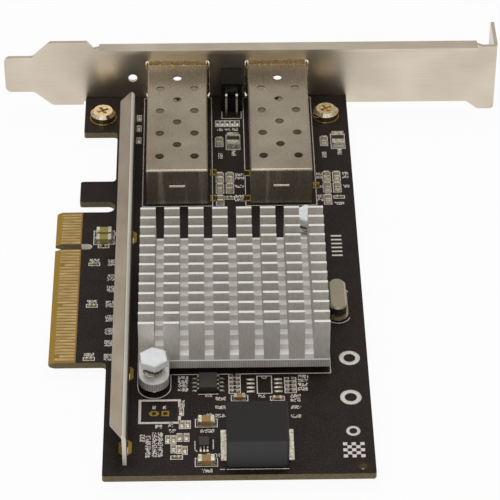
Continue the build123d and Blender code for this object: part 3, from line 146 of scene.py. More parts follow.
# A plain test row along the board's far edge: bars, rings and a chequered patch
EDGE_BARS = ((64.0, 3.0), (64.0, 1.6), (64.0, 0.2), (64.0, -1.2), (64.0, -2.6), (64.0, -4.0))
EDGE_BAR_SIZE = (2.4, 0.5)
EDGE_RINGS = (((65.0, -39.0), 2.3), ((64.7, -51.5), 2.3), ((64.7, -61.9), 1.5))
EDGE_PATCH = (64.6, -67.6)
EDGE_PATCH_CELLS = 5
EDGE_PATCH_PITCH = 0.9

# Vias: their gap to parts and to the board's border, the areas kept free of them (both corners'
# x and y) and how far off its height the board's top may be hit, in millimetres
VIA_MARGIN = 0.35
VIA_BORDER = 1.5
VIA_FREE = ((0, -40, 6.5, 13), (-1, 13, 14.2, 44), (12, 54.5, 70, 62), (62, -73, 68.4, 5))
BOARD_SLACK = 0.01

# Square lands beside the cages: reach from their middles, line width and places, in millimetres
LAND_REACH = (0.55, 0.95)
LAND_LINE = 0.5
CAGE_LANDS = ((44.2, 27.0), (44.2, 17.4), (36.1, 27.4), (36.1, 17.6), (60.2, 22.0))

# Kinds of chip part, each with a node of bodies and a node of ends
CHIP_KINDS = (
    "large_capacitor", "ceramic_capacitor", "chip_resistor", "port_filter", "port_choke",
)

# Solder: heights in millimetres, and how much of an end's height and width it takes
FILLET_CLIMB = 0.75
FILLET_SHARE = 0.94
LEAD_FILLET_HEIGHT = 0.2
LEAD_FILLET_SHARE = 1.25
PILLOW_HEIGHT = 0.12
CONE_HEIGHT = 0.6

# Nodes whose leads are soldered, with the axis that the leads point along
LEAD_ROWS = (("flash_memory_leads", 0), ("load_switch_leads", 1))

# Nodes whose pins come out under the board, with the radius of the solder round them
SOLDERED_PINS = (
    ("left_cage_shell", 0.85), ("right_cage_shell", 0.85), ("lamp_leads", 0.75),
    ("crystal_leads", 0.75),
)

# How deep under the board a pin's tip lies at least, and how near each other the points of one tip
# lie, in millimetres
PIN_TIP_DROP = 0.5
PIN_SPREAD = 1.5

# Where finishes change on the board, the parts, the heat sink and the cages, in millimetres
TONGUE_END_X = 5.9
CONTACTS_END_Y = 12.75
NOTCH_REACH = 1.4
MASKED_RING_Y = -70.25
OLIVE_END_X = 15.5
FIN_PITCH = 5.33
FIN_WIDTH = 3.4
CROSS_CUT_FOOT = 3.85
CROSS_CUT_TOP = 5.25
ARRIS_FOOT = 3.58
ARRIS_TOP = 3.91
MILL_PITCH = 0.5
CAGE_LIP_Y = 15.18

# Crests of the spring bands' side fingers, which all but touch the port windows, in millimetres
PORT_CENTRES = (27.75, 51.85)
CREST_REACH = 7.665
CREST_Y = 58.6
CREST_ROWS = (2.2, 5.0, 7.8)
CREST_SIZE = (0.09, 0.8, 2.4)

# The studio: half the floor's side and the camera's near limit in metres, the sensor's width in
# millimetres, and how far up a ray points where it meets the wall and the ceiling
FLOOR_REACH = 3.0
CLIP_START = 0.01
SENSOR_WIDTH = 36.0
WALL_FROM = 0.1
CEILING_FROM = 0.46

# The shader sockets that the finishes set
SHADER_SOCKETS = {
    "metallic": "Metallic", "roughness": "Roughness", "specular": "Specular IOR Level",
    "ior": "IOR", "transmission": "Transmission Weight", "subsurface": "Subsurface Weight",
    "subsurface_radius": "Subsurface Radius", "subsurface_scale": "Subsurface Scale",
}

# Stamped solids of one node each: the node's kind and its inputs
BLOCK = ("GeometryNodeMeshCube", {"Size": (1, 1, 1)})
CONE = (
    "GeometryNodeMeshCone",
    {"Vertices": 14, "Radius Top": 0.42, "Radius Bottom": 1.0, "Depth": 1.0},
)
PILLOW = (
    "GeometryNodeMeshCone",
    {"Vertices": 12, "Radius Top": 0.3, "Radius Bottom": 0.5, "Depth": 1.0},
)


def srgb(value):
    """Turns an sRGB hex colour into Blender's linear red, green, blue and alpha."""
    levels = [int(value[index:index + 2], 16) / 255 for index in (1, 3, 5)]
    linear = [
        level / 12.92 if level <= 0.04045 else ((level + 0.055) / 1.055) ** 2.4
        for level in levels
    ]
    return (*linear, 1.0)


def add(tree, kind, inputs=(), out=None, **settings):
    """Adds a node with its settings, values and links, and gives it back or one of its outputs."""
    node = tree.nodes.new(kind)
    for name, value in settings.items():
        setattr(node, name, value)
    for key, value in dict(inputs).items():
        socket = node.inputs[key]
        if isinstance(value, bpy.types.NodeSocket):
            tree.links.new(value, socket)
        elif isinstance(value, str) and socket.type == "RGBA":
            socket.default_value = srgb(value)
        else:
            socket.default_value = value
    return node if out is None else node.outputs[out]


def noise_field(tree, place, size, low, high, detail=2.0, top=1.0):
    """Noise of a real size in millimetres, spread to go from 0 at low to top at high."""
    field = add(
        tree, "ShaderNodeTexNoise",
        {"Vector": place, "Scale": 1 / (size * MM), "Detail": detail}, "Fac",
    )
    return add(
        tree, "ShaderNodeMapRange",
        {"Value": field, "From Min": low, "From Max": high, "To Max": top}, "Result",
    )


def before(tree, place, axis, limit, blur):
    """Fades from 1 to 0 where a place passes a limit along an axis, both in millimetres."""
    along = add(tree, "ShaderNodeSeparateXYZ", {0: place}, axis)
    return add(
        tree, "ShaderNodeMapRange",
        {
            "Value": along, "From Min": (limit - blur) * MM, "From Max": (limit + blur) * MM,
            "To Min": 1.0, "To Max": 0.0,
        },
        "Result",
    )


def leaning(tree, axis):
    """How far a face's normal leans along an axis, from -1 to 1."""
    normal = add(tree, "ShaderNodeNewGeometry", out="Normal")
    return add(tree, "ShaderNodeSeparateXYZ", {0: normal}, axis)


def grained(
    name, grain, colours, stretch=(1, 1, 1), rough=None, relief=None, detail=3.0, **shader_values
):
    """A finish whose colour, roughness and relief follow one grain of a real size.

    The grain and the relief are in millimetres, colours and rough are the two ends of each, and
    shader_values are set on the shader's own sockets. Gives the material, its tree, its shader,
    Object coordinates, the grain and the colour.
    """
    made = bpy.data.materials.new(name)
    made.use_nodes = True
    tree = made.node_tree
    shader = tree.nodes["Principled BSDF"]
    for label, value in shader_values.items():
        shader.inputs[SHADER_SOCKETS[label]].default_value = value
    place = add(tree, "ShaderNodeTexCoord", out="Object")
    drawn = add(tree, "ShaderNodeMapping", {"Vector": place, "Scale": stretch}, "Vector")
    field = noise_field(tree, drawn, grain, 0.3, 0.7, detail)
    colour = add(
        tree, "ShaderNodeMix", {0: field, 6: colours[0], 7: colours[1]}, 2, data_type="RGBA"
    )
    tree.links.new(colour, shader.inputs["Base Color"])
    if rough:
        spread = add(
            tree, "ShaderNodeMapRange",
            {"Value": field, "To Min": rough[0], "To Max": rough[1]}, "Result",
        )
        tree.links.new(spread, shader.inputs["Roughness"])
    if relief:
        raised = add(
            tree, "ShaderNodeBump",
            {"Height": field, "Strength": 0.5, "Distance": relief * MM}, "Normal",
        )
        tree.links.new(raised, shader.inputs["Normal"])
    return made, tree, shader, place, field, colour


def solder_mask(settings):
    """Near-black brown solder mask, screen-coated and matte-cured over etched copper.

    The eye sees a satin dark film with fine pale specks, faint buried tracks, a bare brown
    laminate edge where the board was routed, and bare laminate between the gold contacts.
    """
    made, tree, shader, place, cloud, film = grained(
        "solder_mask", grain=4.0, colours=(settings.mask_dark, settings.mask_light),
        roughness=0.5, specular=0.16,
    )
    axes = add(tree, "ShaderNodeSeparateXYZ", {0: place})
    tracks = add(
        tree, "ShaderNodeTexBrick",
        {
            "Vector": place, "Scale": 1 / (2.4 * MM), "Mortar Size": 0.02, "Mortar Smooth": 0.4,
            "Bias": 0.0, "Brick Width": 3.1, "Row Height": 0.26, "Color1": "#000000",
            "Color2": "#000000", "Mortar": "#ffffff",
        },
        "Color", offset=0.37, squash=0.7, squash_frequency=3,
    )
    faint = add(
        tree, "ShaderNodeMapRange",
        {"Value": cloud, "From Min": 0.3, "From Max": 0.8, "To Max": 0.35}, "Result",
    )
    buried = add(tree, "ShaderNodeMath", {0: tracks, 1: faint}, 0, operation="MULTIPLY")

    # Specks of 0.3 mm, coarser than the real film's so that they show
    specks = noise_field(tree, place, 0.3, 0.53, 0.66)

    # Bare laminate between the contacts, on the tongue
    tongue = before(tree, place, "X", TONGUE_END_X, 0.05)
    beside = before(tree, place, "Y", CONTACTS_END_Y, 0.05)
    bare = add(tree, "ShaderNodeMath", {0: tongue, 1: beside}, 0, operation="MULTIPLY")

    # Slopes are the contact edge's bevel, and upright faces the routed laminate
    upward = add(tree, "ShaderNodeMath", {0: leaning(tree, "Z")}, 0, operation="ABSOLUTE")
    slope = add(
        tree, "ShaderNodeMapRange",
        {"Value": upward, "From Min": 0.98, "From Max": 0.995, "To Min": 1.0, "To Max": 0.0},
        "Result",
    )
    slope = add(tree, "ShaderNodeMath", {0: slope, 1: tongue}, 0, operation="MULTIPLY")
    for share, tone in (
        (buried, settings.mask_track), (specks, settings.mask_track), (bare, "#96763a"),
        (slope, "#9e7f34"),
    ):
        film = add(tree, "ShaderNodeMix", {0: share, 6: film, 7: tone}, 2, data_type="RGBA")
    weave = add(tree, "ShaderNodeMapping", {"Vector": place, "Scale": (0.25, 0.25, 1.0)}, "Vector")
    weave = add(tree, "ShaderNodeTexNoise", {"Vector": weave, "Scale": 1 / (0.18 * MM)}, "Fac")
    laminate = add(
        tree, "ShaderNodeMix", {0: weave, 6: "#453b28", 7: "#8f8262"}, 2, data_type="RGBA"
    )

    # The inner end of the key notch, which is cut paler
    notch = add(
        tree, "ShaderNodeMath", {0: axes.outputs["Y"], 1: 0.0, 2: NOTCH_REACH * MM}, 0,
        operation="COMPARE",
    )
    inner = add(
        tree, "ShaderNodeMath", {0: axes.outputs["X"], 1: TONGUE_END_X * MM}, 0,
        operation="GREATER_THAN",
    )
    notch = add(tree, "ShaderNodeMath", {0: notch, 1: inner}, 0, operation="MULTIPLY")
    laminate = add(
        tree, "ShaderNodeMix", {0: notch, 6: laminate, 7: "#e6e2d8"}, 2, data_type="RGBA"
    )

    # Film on flat faces, laminate on upright ones, and relief from the specks and the tracks
    flat = add(
        tree, "ShaderNodeMapRange", {"Value": upward, "From Min": 0.35, "From Max": 0.45}, "Result"
    )
    film = add(tree, "ShaderNodeMix", {0: flat, 6: laminate, 7: film}, 2, data_type="RGBA")
    tree.links.new(film, shader.inputs["Base Color"])
    relief = add(
        tree, "ShaderNodeMath", {0: specks, 1: 0.25, 2: buried}, 0, operation="MULTIPLY_ADD"
    )
    relief = add(
        tree, "ShaderNodeBump", {"Height": relief, "Strength": 0.4, "Distance": 0.02 * MM}, "Normal"
    )
    tree.links.new(relief, shader.inputs["Normal"])
    return made


def hard_gold(settings):
    """Electroplated hard gold, bright with faint wipe marks along the insertion direction."""
    return grained(
        "hard_gold", grain=0.5, colours=(settings.gold_dark, settings.gold_light),
        stretch=(0.12, 1, 1), rough=(0.24, 0.4), metallic=1.0,
    )[0]


def flash_gold(_):
    """Immersion gold over nickel: duller than the contacts, and brown under mask at one corner."""
    made, tree, shader, place, _, colour = grained(
        "flash_gold", grain=0.25, colours=("#7d6626", "#ae9145"), rough=(0.36, 0.52), metallic=1.0
    )
    corner = before(tree, place, "Y", MASKED_RING_Y, 0.25)
    colour = add(tree, "ShaderNodeMix", {0: corner, 6: colour, 7: "#3d2a1a"}, 2, data_type="RGBA")
    tree.links.new(colour, shader.inputs["Base Color"])
    return made


def rolled_sheet(name, line_share, colours, metallic=1.0, **grain_values):
    """Rolled and plated sheet: faint long rolling lines under slow cloudy changes of tone."""
    made, tree, shader, place, lines, colour = grained(
        name, colours=colours, detail=4.0, metallic=metallic, **grain_values
    )
    clouds = add(
        tree, "ShaderNodeTexNoise", {"Vector": place, "Scale": 1 / (14 * MM), "Detail": 2.0}, "Fac"
    )
    tone = add(tree, "ShaderNodeMath", {0: lines, 1: line_share}, 0, operation="MULTIPLY")
    tone = add(tree, "ShaderNodeMath", {0: clouds, 1: tone}, 0, operation="ADD")
    tone = add(
        tree, "ShaderNodeMapRange",
        {"Value": tone, "From Min": 0.35, "From Max": 0.65 + line_share}, "Result",
    )
    colour = add(
        tree, "ShaderNodeMix", {0: tone, 6: colours[0], 7: colours[1]}, 2, data_type="RGBA"
    )
    tree.links.new(colour, shader.inputs["Base Color"])
    return made, tree, shader, place, colour


def bracket_steel(settings):
    """Nickel-plated steel sheet, rolled along the bracket's length."""
    return rolled_sheet(
        "nickel_plated_steel", line_share=0.12,
        colours=(settings.nickel_dark, settings.nickel_light), grain=0.35, stretch=(0.05, 1, 1),
        rough=(0.3, 0.36), relief=0.003,
    )[0]


def cage_sheet(settings):
    """Nickel silver sheet, matte-rolled and stamped, with tiny pale handling specks.

    The roof is smooth, the rear wall shows broad upright bands painted lighter as a reflection of
    the heat sink's fins, and the sheared lip on it is painted near-white as a highlight.
    """
    metallic = 0.72
    made, tree, shader, place, colour = rolled_sheet(
        "nickel_silver", line_share=0.02, colours=(settings.cage_dark, settings.cage_light),
        metallic=metallic, grain=0.3, stretch=(1, 0.12, 0.12), rough=(0.26, 0.3),
    )
    specks = noise_field(tree, place, 0.35, 0.66, 0.72, detail=1.0, top=0.5)

    # Upright bands on the rear wall, painted lighter as a reflection of the heat sink's fins
    backward = add(
        tree, "ShaderNodeMath", {0: leaning(tree, "Y"), 1: -0.9}, 0, operation="LESS_THAN"
    )
    bands = add(tree, "ShaderNodeMapping", {"Vector": place, "Scale": (1, 1, 0.04)}, "Vector")
    bands = noise_field(tree, bands, 1.6, 0.53, 0.7)
    bands = add(tree, "ShaderNodeMath", {0: bands, 1: backward}, 0, operation="MULTIPLY")

    # The sheared lip on that wall: a painted highlight, near-white and dry instead of mirror-like
    lip_highlight = add(tree, "ShaderNodeSeparateXYZ", {0: place}, "Y")
    lip_highlight = add(tree, "ShaderNodeMath", {0: lip_highlight, 1: CAGE_LIP_Y * MM}, 0, operation="LESS_THAN")
    for share, tone in ((specks, "#d8cfbc"), (bands, "#efe3c8"), (lip_highlight, "#fff8e8")):
        colour = add(tree, "ShaderNodeMix", {0: share, 6: colour, 7: tone}, 2, data_type="RGBA")
    tree.links.new(colour, shader.inputs["Base Color"])
    metal = add(
        tree, "ShaderNodeMapRange", {"Value": lip_highlight, "To Min": metallic, "To Max": 0.0}, "Result"
    )
    tree.links.new(metal, shader.inputs["Metallic"])
    return made


def bar_steel(_):
    """Zinc-plated steel bar: a dry, warm passivated face, with a painted highlight on its bend and
    its cut end.
    """
    made, tree, shader, _, colour = rolled_sheet(
        "zinc_plated_steel", line_share=0.1, colours=("#988b7b", "#aca092"), grain=0.3,
        stretch=(1, 0.06, 1), rough=(0.36, 0.46),
    )
    # The bend and the cut end facing the front get a painted highlight: pale and less metallic
    bend_highlight = add(
        tree, "ShaderNodeMath", {0: leaning(tree, "Z"), 1: 0.55, 2: 0.4}, 0, operation="COMPARE"
    )
    cut_end_highlight = add(
        tree, "ShaderNodeMath", {0: leaning(tree, "Y"), 1: -0.7}, 0, operation="LESS_THAN"
    )
    bend_highlight = add(tree, "ShaderNodeMath", {0: bend_highlight, 1: cut_end_highlight}, 0, operation="MAXIMUM")
    colour = add(tree, "ShaderNodeMix", {0: bend_highlight, 6: colour, 7: "#e4e0d4"}, 2, data_type="RGBA")
    tree.links.new(colour, shader.inputs["Base Color"])
    metal = add(
        tree, "ShaderNodeMapRange", {"Value": bend_highlight, "To Min": 1.0, "To Max": 0.2}, "Result"
    )
    tree.links.new(metal, shader.inputs["Metallic"])
    return made


def sink_aluminium(settings):
    """Extruded and cross-cut aluminium, clear-anodised.

    Sawn fin tops and other upward faces get a painted highlight, the cross cuts between the fins
    are painted near-white and matte as light against their shade, and the base's edge keeps the
    fine upright marks of the mill under a painted highlight along its arris, the marks drawn a
    little coarser than real so that they show.
    """
    made, tree, shader, place, _, colour = grained(
        "clear_anodised_aluminium", grain=0.5, colours=(settings.sink_dark, settings.sink_light),
        stretch=(1, 1, 0.3), rough=(0.36, 0.46), relief=0.006,
    )
    axes = add(tree, "ShaderNodeSeparateXYZ", {0: place})
    upward = add(tree, "ShaderNodeMath", {0: leaning(tree, "Z")}, 0, operation="ABSOLUTE")
    # Upward faces painted lighter as a highlight
    top_highlight = add(
        tree, "ShaderNodeMapRange",
        {"Value": upward, "From Min": 0.6, "From Max": 0.9, "To Max": 0.8}, "Result",
    )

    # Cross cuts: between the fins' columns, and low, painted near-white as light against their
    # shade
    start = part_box("heat_sink")[0].x
    column = add(
        tree, "ShaderNodeMapRange",
        {"Value": axes.outputs["X"], "From Min": start, "From Max": start + FIN_PITCH * MM},
        "Result", clamp=False,
    )
    column = add(tree, "ShaderNodeMath", {0: column}, 0, operation="FRACT")
    cross_cut_light = add(
        tree, "ShaderNodeMath", {0: column, 1: FIN_WIDTH / FIN_PITCH}, 0,
        operation="GREATER_THAN",
    )
    for height, side in ((CROSS_CUT_TOP, "LESS_THAN"), (CROSS_CUT_FOOT, "GREATER_THAN")):
        inside = add(
            tree, "ShaderNodeMath", {0: axes.outputs["Z"], 1: height * MM}, 0, operation=side
        )
        cross_cut_light = add(tree, "ShaderNodeMath", {0: cross_cut_light, 1: inside}, 0, operation="MULTIPLY")

    # Mill marks along the base's edge, under its arris
    marks = add(
        tree, "ShaderNodeMath", {0: axes.outputs["X"], 1: math.tau / (MILL_PITCH * MM)}, 0,
        operation="MULTIPLY",
    )
    marks = add(tree, "ShaderNodeMath", {0: marks}, 0, operation="SINE")
    marks = add(
        tree, "ShaderNodeMapRange",
        {"Value": marks, "From Min": -0.6, "From Max": 0.6, "To Max": 0.35}, "Result",
    )
    upright = add(tree, "ShaderNodeMath", {0: upward, 1: 0.2}, 0, operation="LESS_THAN")
    below, base = (
        add(
            tree, "ShaderNodeMath", {0: axes.outputs["Z"], 1: height * MM}, 0,
            operation="LESS_THAN",
        )
        for height in (ARRIS_FOOT, ARRIS_TOP)
    )
    edge = add(tree, "ShaderNodeMath", {0: upright, 1: below}, 0, operation="MULTIPLY")
    marks = add(tree, "ShaderNodeMath", {0: edge, 1: marks}, 0, operation="MULTIPLY")
    # A painted highlight along the base's arris, just above the mill marks
    arris_highlight = add(tree, "ShaderNodeMath", {0: base, 1: below}, 0, operation="SUBTRACT")
    arris_highlight = add(tree, "ShaderNodeMath", {0: arris_highlight, 1: upright}, 0, operation="MULTIPLY")
    for share, tone in (
        (top_highlight, "#f4f3f1"), (cross_cut_light, "#fbfaf7"), (marks, "#4c4a47"), (arris_highlight, "#ffffff")
    ):
        colour = add(tree, "ShaderNodeMix", {0: share, 6: colour, 7: tone}, 2, data_type="RGBA")
    tree.links.new(colour, shader.inputs["Base Color"])
    # The painted light in the cross cuts and on the arris is also made less metallic
    bright = add(tree, "ShaderNodeMath", {0: cross_cut_light, 1: arris_highlight}, 0, operation="MAXIMUM")
    metal = add(
        tree, "ShaderNodeMapRange", {"Value": bright, "To Min": 0.35, "To Max": 0.02}, "Result"
    )
    tree.links.new(metal, shader.inputs["Metallic"])

    # The arris is rounded, so its normal leans up
    lean = add(tree, "ShaderNodeCombineXYZ", {"Z": arris_highlight}, "Vector")
    lean = add(
        tree, "ShaderNodeVectorMath", {0: shader.inputs["Normal"].links[0].from_socket, 1: lean},
        "Vector", operation="ADD",
    )
    lean = add(tree, "ShaderNodeVectorMath", {0: lean}, "Vector", operation="NORMALIZE")
    tree.links.new(lean, shader.inputs["Normal"])
    return made


def ferrite(settings):
    """Pressed ferrite powder: near-black with a coarse grain, its faces greyer the less they face
    up.
    """
    made, tree, shader, _, _, colour = grained(
        "pressed_ferrite", grain=0.25, colours=(settings.ferrite_dark, settings.ferrite_light),
        relief=0.03, detail=4.0, roughness=0.62, specular=0.3,
    )
    side = add(
        tree, "ShaderNodeMapRange", {"Value": leaning(tree, "Z"), "To Min": 0.6, "To Max": 0.0},
        "Result",
    )
    colour = add(tree, "ShaderNodeMix", {0: side, 6: colour, 7: "#4a4b4e"}, 2, data_type="RGBA")
    tree.links.new(colour, shader.inputs["Base Color"])
    return made


def capacitor_ceramic(settings):
    """Tan fired titanate ceramic with thin layer lines, and an olive grade by the contacts."""
    made, tree, shader, place, _, colour = grained(
        "titanate_ceramic", grain=0.16, colours=(settings.ceramic_dark, settings.ceramic_light),
        stretch=(1, 1, 5), relief=0.01, roughness=0.38,
    )
    olive = before(tree, place, "X", OLIVE_END_X, 0.5)
    colour = add(tree, "ShaderNodeMix", {0: olive, 6: colour, 7: "#92853f"}, 2, data_type="RGBA")
    tree.links.new(colour, shader.inputs["Base Color"])
    return made


def legend_ink(settings):
    """Warm white legend ink, screen-printed: thin, chalky and slightly uneven."""
    return grained(
        "legend_ink", grain=0.3, colours=(settings.ink_dark, settings.ink_light), roughness=0.6
    )[0]


def studio_paper():
    """White studio paper, matte and faintly fibrous.

    It shows white to the camera and in reflections, and keeps the card's soft shadow.
    """
    made, tree, shader, *_ = grained(
        "studio_paper", grain=4.0, colours=("#f0f0f0", "#f4f4f4"), roughness=0.9
    )
    rays = add(tree, "ShaderNodeLightPath")
    seen = add(
        tree, "ShaderNodeMath",
        {0: rays.outputs["Is Camera Ray"], 1: rays.outputs["Is Glossy Ray"]}, 0,
        operation="MAXIMUM",
    )
    seen = add(
        tree, "ShaderNodeMath", {0: seen, 1: rays.outputs["Is Transmission Ray"]}, 0,
        operation="MAXIMUM",
    )
    share = add(tree, "ShaderNodeMath", {0: seen, 1: 0.94}, 0, operation="MULTIPLY")
    white = add(tree, "ShaderNodeEmission", {"Color": "#ffffff", "Strength": 1.0}, 0)
    blend = add(tree, "ShaderNodeMixShader", {0: share, 1: shader.outputs[0], 2: white}, 0)
    tree.links.new(blend, tree.nodes["Material Output"].inputs["Surface"])
    return made


# Finishes drawn from one grain alone, each with what it gives the eye
PLAIN_FINISHES = {
    # Reflowed tin: bright, slightly yellow from flux, with soft frosted patches
    "tin": dict(
        name="reflowed_tin", grain=0.6, colours=("#b3ad9a", "#e8e4d6"), rough=(0.22, 0.48),
        relief=0.03, metallic=1.0,
    ),
    # Bright nickel-plated screw, turned: fine marks and golden room reflections
    "screw_steel": dict(
        name="bright_nickel", grain=0.5, colours=("#c9bb9c", "#fff2d6"), relief=0.012,
        metallic=1.0, roughness=0.13,
    ),
    # Heat-treated copper alloy spring, thinly nickel-plated, with a straw tint
    "spring_copper": dict(
        name="spring_copper", grain=0.9, colours=("#cbb58a", "#eddcb2"), rough=(0.22, 0.3),
        metallic=0.8,
    ),
    # Plated spring wire with drawing lines, mirror-bright on its crests
    "spring_steel": dict(
        name="plated_spring_wire", grain=0.25, colours=("#a9a498", "#e2ded4"),
        rough=(0.16, 0.32), metallic=1.0,
    ),
    # Drawn nickel silver can: fine drawing marks and a soft satin top
    "can_nickel": dict(
        name="drawn_nickel_silver", grain=0.2, colours=("#a39a86", "#a89f8b"),
        stretch=(1, 0.3, 1), rough=(0.24, 0.28), metallic=1.0,
    ),
    # Natural moulded nylon: milky, a little translucent, with soft gloss
    "natural_nylon": dict(
        name="natural_nylon", grain=2.0, colours=("#e4e9ea", "#f5f7f7"), relief=0.01,
        roughness=0.32, subsurface=0.35, subsurface_radius=(1.0, 0.95, 0.9),
        subsurface_scale=1 * MM,
    ),
    # Black epoxy moulding compound: a fine spark-eroded matte skin
    "mould_compound": dict(
        name="epoxy_mould", grain=0.14, colours=("#1b1915", "#332f26"), relief=0.015,
        roughness=0.55,
    ),
    # Black glass-filled liquid-crystal polymer with flow marks
    "connector_black": dict(
        name="glass_filled_polymer", grain=0.8, colours=("#090909", "#171614"),
        stretch=(0.4, 1, 1), relief=0.01, roughness=0.42, specular=0.2,
    ),
    # Smoke-tinted epoxy lamp: glossy, dark, with a faint cloudy core
    "lamp_resin": dict(
        name="tinted_epoxy", grain=1.5, colours=("#1e211f", "#3a3f3b"), roughness=0.12, ior=1.5,
        transmission=0.3,
    ),
    # Grey filled silicone gap pad: matte and even
    "pad_silicone": dict(
        name="filled_silicone", grain=0.3, colours=("#808790", "#9aa1a8"), roughness=0.7
    ),
    # Black glass glaze over a thick-film element: smooth and faintly streaked
    "resistor_glaze": dict(
        name="resistor_glaze", grain=0.16, colours=("#141414", "#25241f"), stretch=(1, 1, 5),
        relief=0.01, roughness=0.3,
    ),
    # Grey-beige ferrite ceramic of the port filter parts: fired, with thin layer lines
    "filter_ceramic": dict(
        name="filter_ceramic", grain=0.16, colours=("#75664c", "#988867"), stretch=(1, 1, 5),
        relief=0.01, roughness=0.42,
    ),
}

# Finishes with a function of their own
OWN_FINISHES = {
    "solder_mask": solder_mask, "hard_gold": hard_gold, "flash_gold": flash_gold,
    "bracket_steel": bracket_steel, "cage_sheet": cage_sheet, "bar_steel": bar_steel,
    "sink_aluminium": sink_aluminium, "ferrite": ferrite,
    "capacitor_ceramic": capacitor_ceramic, "legend_ink": legend_ink,
}
made_finishes = {}


def finish(name, settings):
    """The material of a slot or finish name, made once."""
    if name not in made_finishes:
        if name in PLAIN_FINISHES:
            made_finishes[name] = grained(**PLAIN_FINISHES[name])[0]
        else:
            made_finishes[name] = OWN_FINISHES[name](settings)
    return made_finishes[name]


def box_mm(node):
    """The low and the high corner of a CAD node's box, in millimetres."""
    return [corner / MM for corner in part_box(node)]


def box_round(points):
    """The low and the high corner of the box round some points."""
    return tuple(
        Vector([pick(point[axis] for point in points) for axis in range(3)])
        for pick in (min, max)
    )


def islands(node):
    """The boxes, in millimetres, of a CAD node's separate solids."""
    mesh = bmesh.new()
    mesh.from_mesh(frame["nodes"][node].data)
    bmesh.ops.remove_doubles(mesh, verts=mesh.verts, dist=1e-7)
    seen = set()
    boxes = []
    for start in mesh.verts:
        if start in seen:
            continue
        seen.add(start)
        queue = [start]
        points = []
        while queue:
            vertex = queue.pop()
            points.append(vertex.co / MM)
            for edge in vertex.link_edges:
                other = edge.other_vert(vertex)
                if other not in seen:
                    seen.add(other)
                    queue.append(other)
        boxes.append(box_round(points))
    mesh.free()
    return boxes


def middle(box):
    """The middle of a box."""
    return (box[0] + box[1]) / 2


def chips(kind):
    """Each chip of a kind as its body's box, its two ends' boxes and the axis it lies along."""
    ends = islands(f"{kind}_ends")
    found = []
    for body in islands(f"{kind}_bodies"):
        near = sorted(ends, key=lambda end: (middle(end) - middle(body)).length)[:2]
        run = middle(near[0]) - middle(near[1])
        found.append((body, near, 0 if abs(run.x) > abs(run.y) else 1))
    return found


def pin_places(node):
    """Where a node's pins come out under the board, as middles of their tips."""
    mesh = bmesh.new()
    mesh.from_mesh(frame["nodes"][node].data)
    deep = BOARD_BACK - PIN_TIP_DROP * MM
    tips = [vert.co / MM for vert in mesh.verts if vert.co.z < deep]
    mesh.free()
    groups = []
    for tip in tips:
        for group in groups:
            if (group[0] - tip).xy.length < PIN_SPREAD:
                group.append(tip)
                break
        else:
            groups.append([tip])
    return [middle(box_round(group)).xy for group in groups]


def group_tree(name, inputs):
    """A geometry node tree with a geometry input and output and other named inputs."""
    tree = bpy.data.node_groups.new(name, "GeometryNodeTree")
    tree.interface.new_socket("Geometry", in_out="INPUT", socket_type="NodeSocketGeometry")
    for label, kind, value in inputs:
        socket = tree.interface.new_socket(label, in_out="INPUT", socket_type=kind)
        if value is not None:
            socket.default_value = value
    tree.interface.new_socket("Geometry", in_out="OUTPUT", socket_type="NodeSocketGeometry")
    entry = tree.nodes.new("NodeGroupInput")
    leave = tree.nodes.new("NodeGroupOutput")
    return tree, entry, leave


def apply_tree(name, source, tree, values, finish_name, settings):
    """Runs a tree on a mesh and returns its result as a plain mesh object of that name."""
    holder = bpy.data.objects.new(f"{name}_source", source)
    bpy.context.scene.collection.objects.link(holder)
    modifier = holder.modifiers.new("Nodes", "NODES")
    modifier.node_group = tree
    sockets = {
        item.name: item.identifier for item in tree.interface.items_tree
        if item.item_type == "SOCKET" and item.in_out == "INPUT"
    }
    for label, value in values.items():
        modifier[sockets[label]] = value
    modifier[sockets["Finish"]] = finish(finish_name, settings)
    bpy.context.view_layer.update()
    evaluated = holder.evaluated_get(bpy.context.evaluated_depsgraph_get())
    result = bpy.data.meshes.new_from_object(evaluated)
    holder.modifiers.clear()
    bpy.data.objects.remove(holder)
    return place_piece(name, result, finish_name, settings)


def place_piece(name, mesh, finish_name, settings):
    """Links a finished mesh as a piece that rides on the card."""
    mesh.name = name
    mesh.materials.clear()
    mesh.materials.append(finish(finish_name, settings))
    piece = bpy.data.objects.new(name, mesh)
    bpy.context.scene.collection.objects.link(piece)
    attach(piece, BODY)
    return piece


def point_mesh(name, points, **attributes):
    """A mesh of loose points, in millimetres, with named vector attributes."""
    mesh = bpy.data.meshes.new(name)
    mesh.from_pydata([Vector(point) * MM for point in points], [], [])
    for label, values in attributes.items():
        layer = mesh.attributes.new(label, "FLOAT_VECTOR", "POINT")
        for item, value in zip(layer.data, values):
            item.vector = value
    return mesh


def close_tree(tree, entry, leave, built):
    """Ends a tree: its instances made real, and its finish set."""
    real = add(tree, "GeometryNodeRealizeInstances", {"Geometry": built}, "Geometry")
    painted = add(
        tree, "GeometryNodeSetMaterial",
        {"Geometry": real, "Material": entry.outputs["Finish"]}, "Geometry",
    )
    tree.links.new(painted, leave.inputs["Geometry"])
    return tree


def set_on_points(tree, entry, solid):
    """Sets a solid on every incoming point, turned by its turn and stretched by its size."""
    turn, size = (
        add(
            tree, "GeometryNodeInputNamedAttribute", {"Name": label}, "Attribute",
            data_type="FLOAT_VECTOR",
        )
        for label in ("turn", "size")
    )
    rotation = add(tree, "FunctionNodeEulerToRotation", {"Euler": turn}, 0)
    return add(
        tree, "GeometryNodeInstanceOnPoints",
        {
            "Points": entry.outputs["Geometry"], "Instance": solid, "Rotation": rotation,
            "Scale": size,
        },
        "Instances",
    )


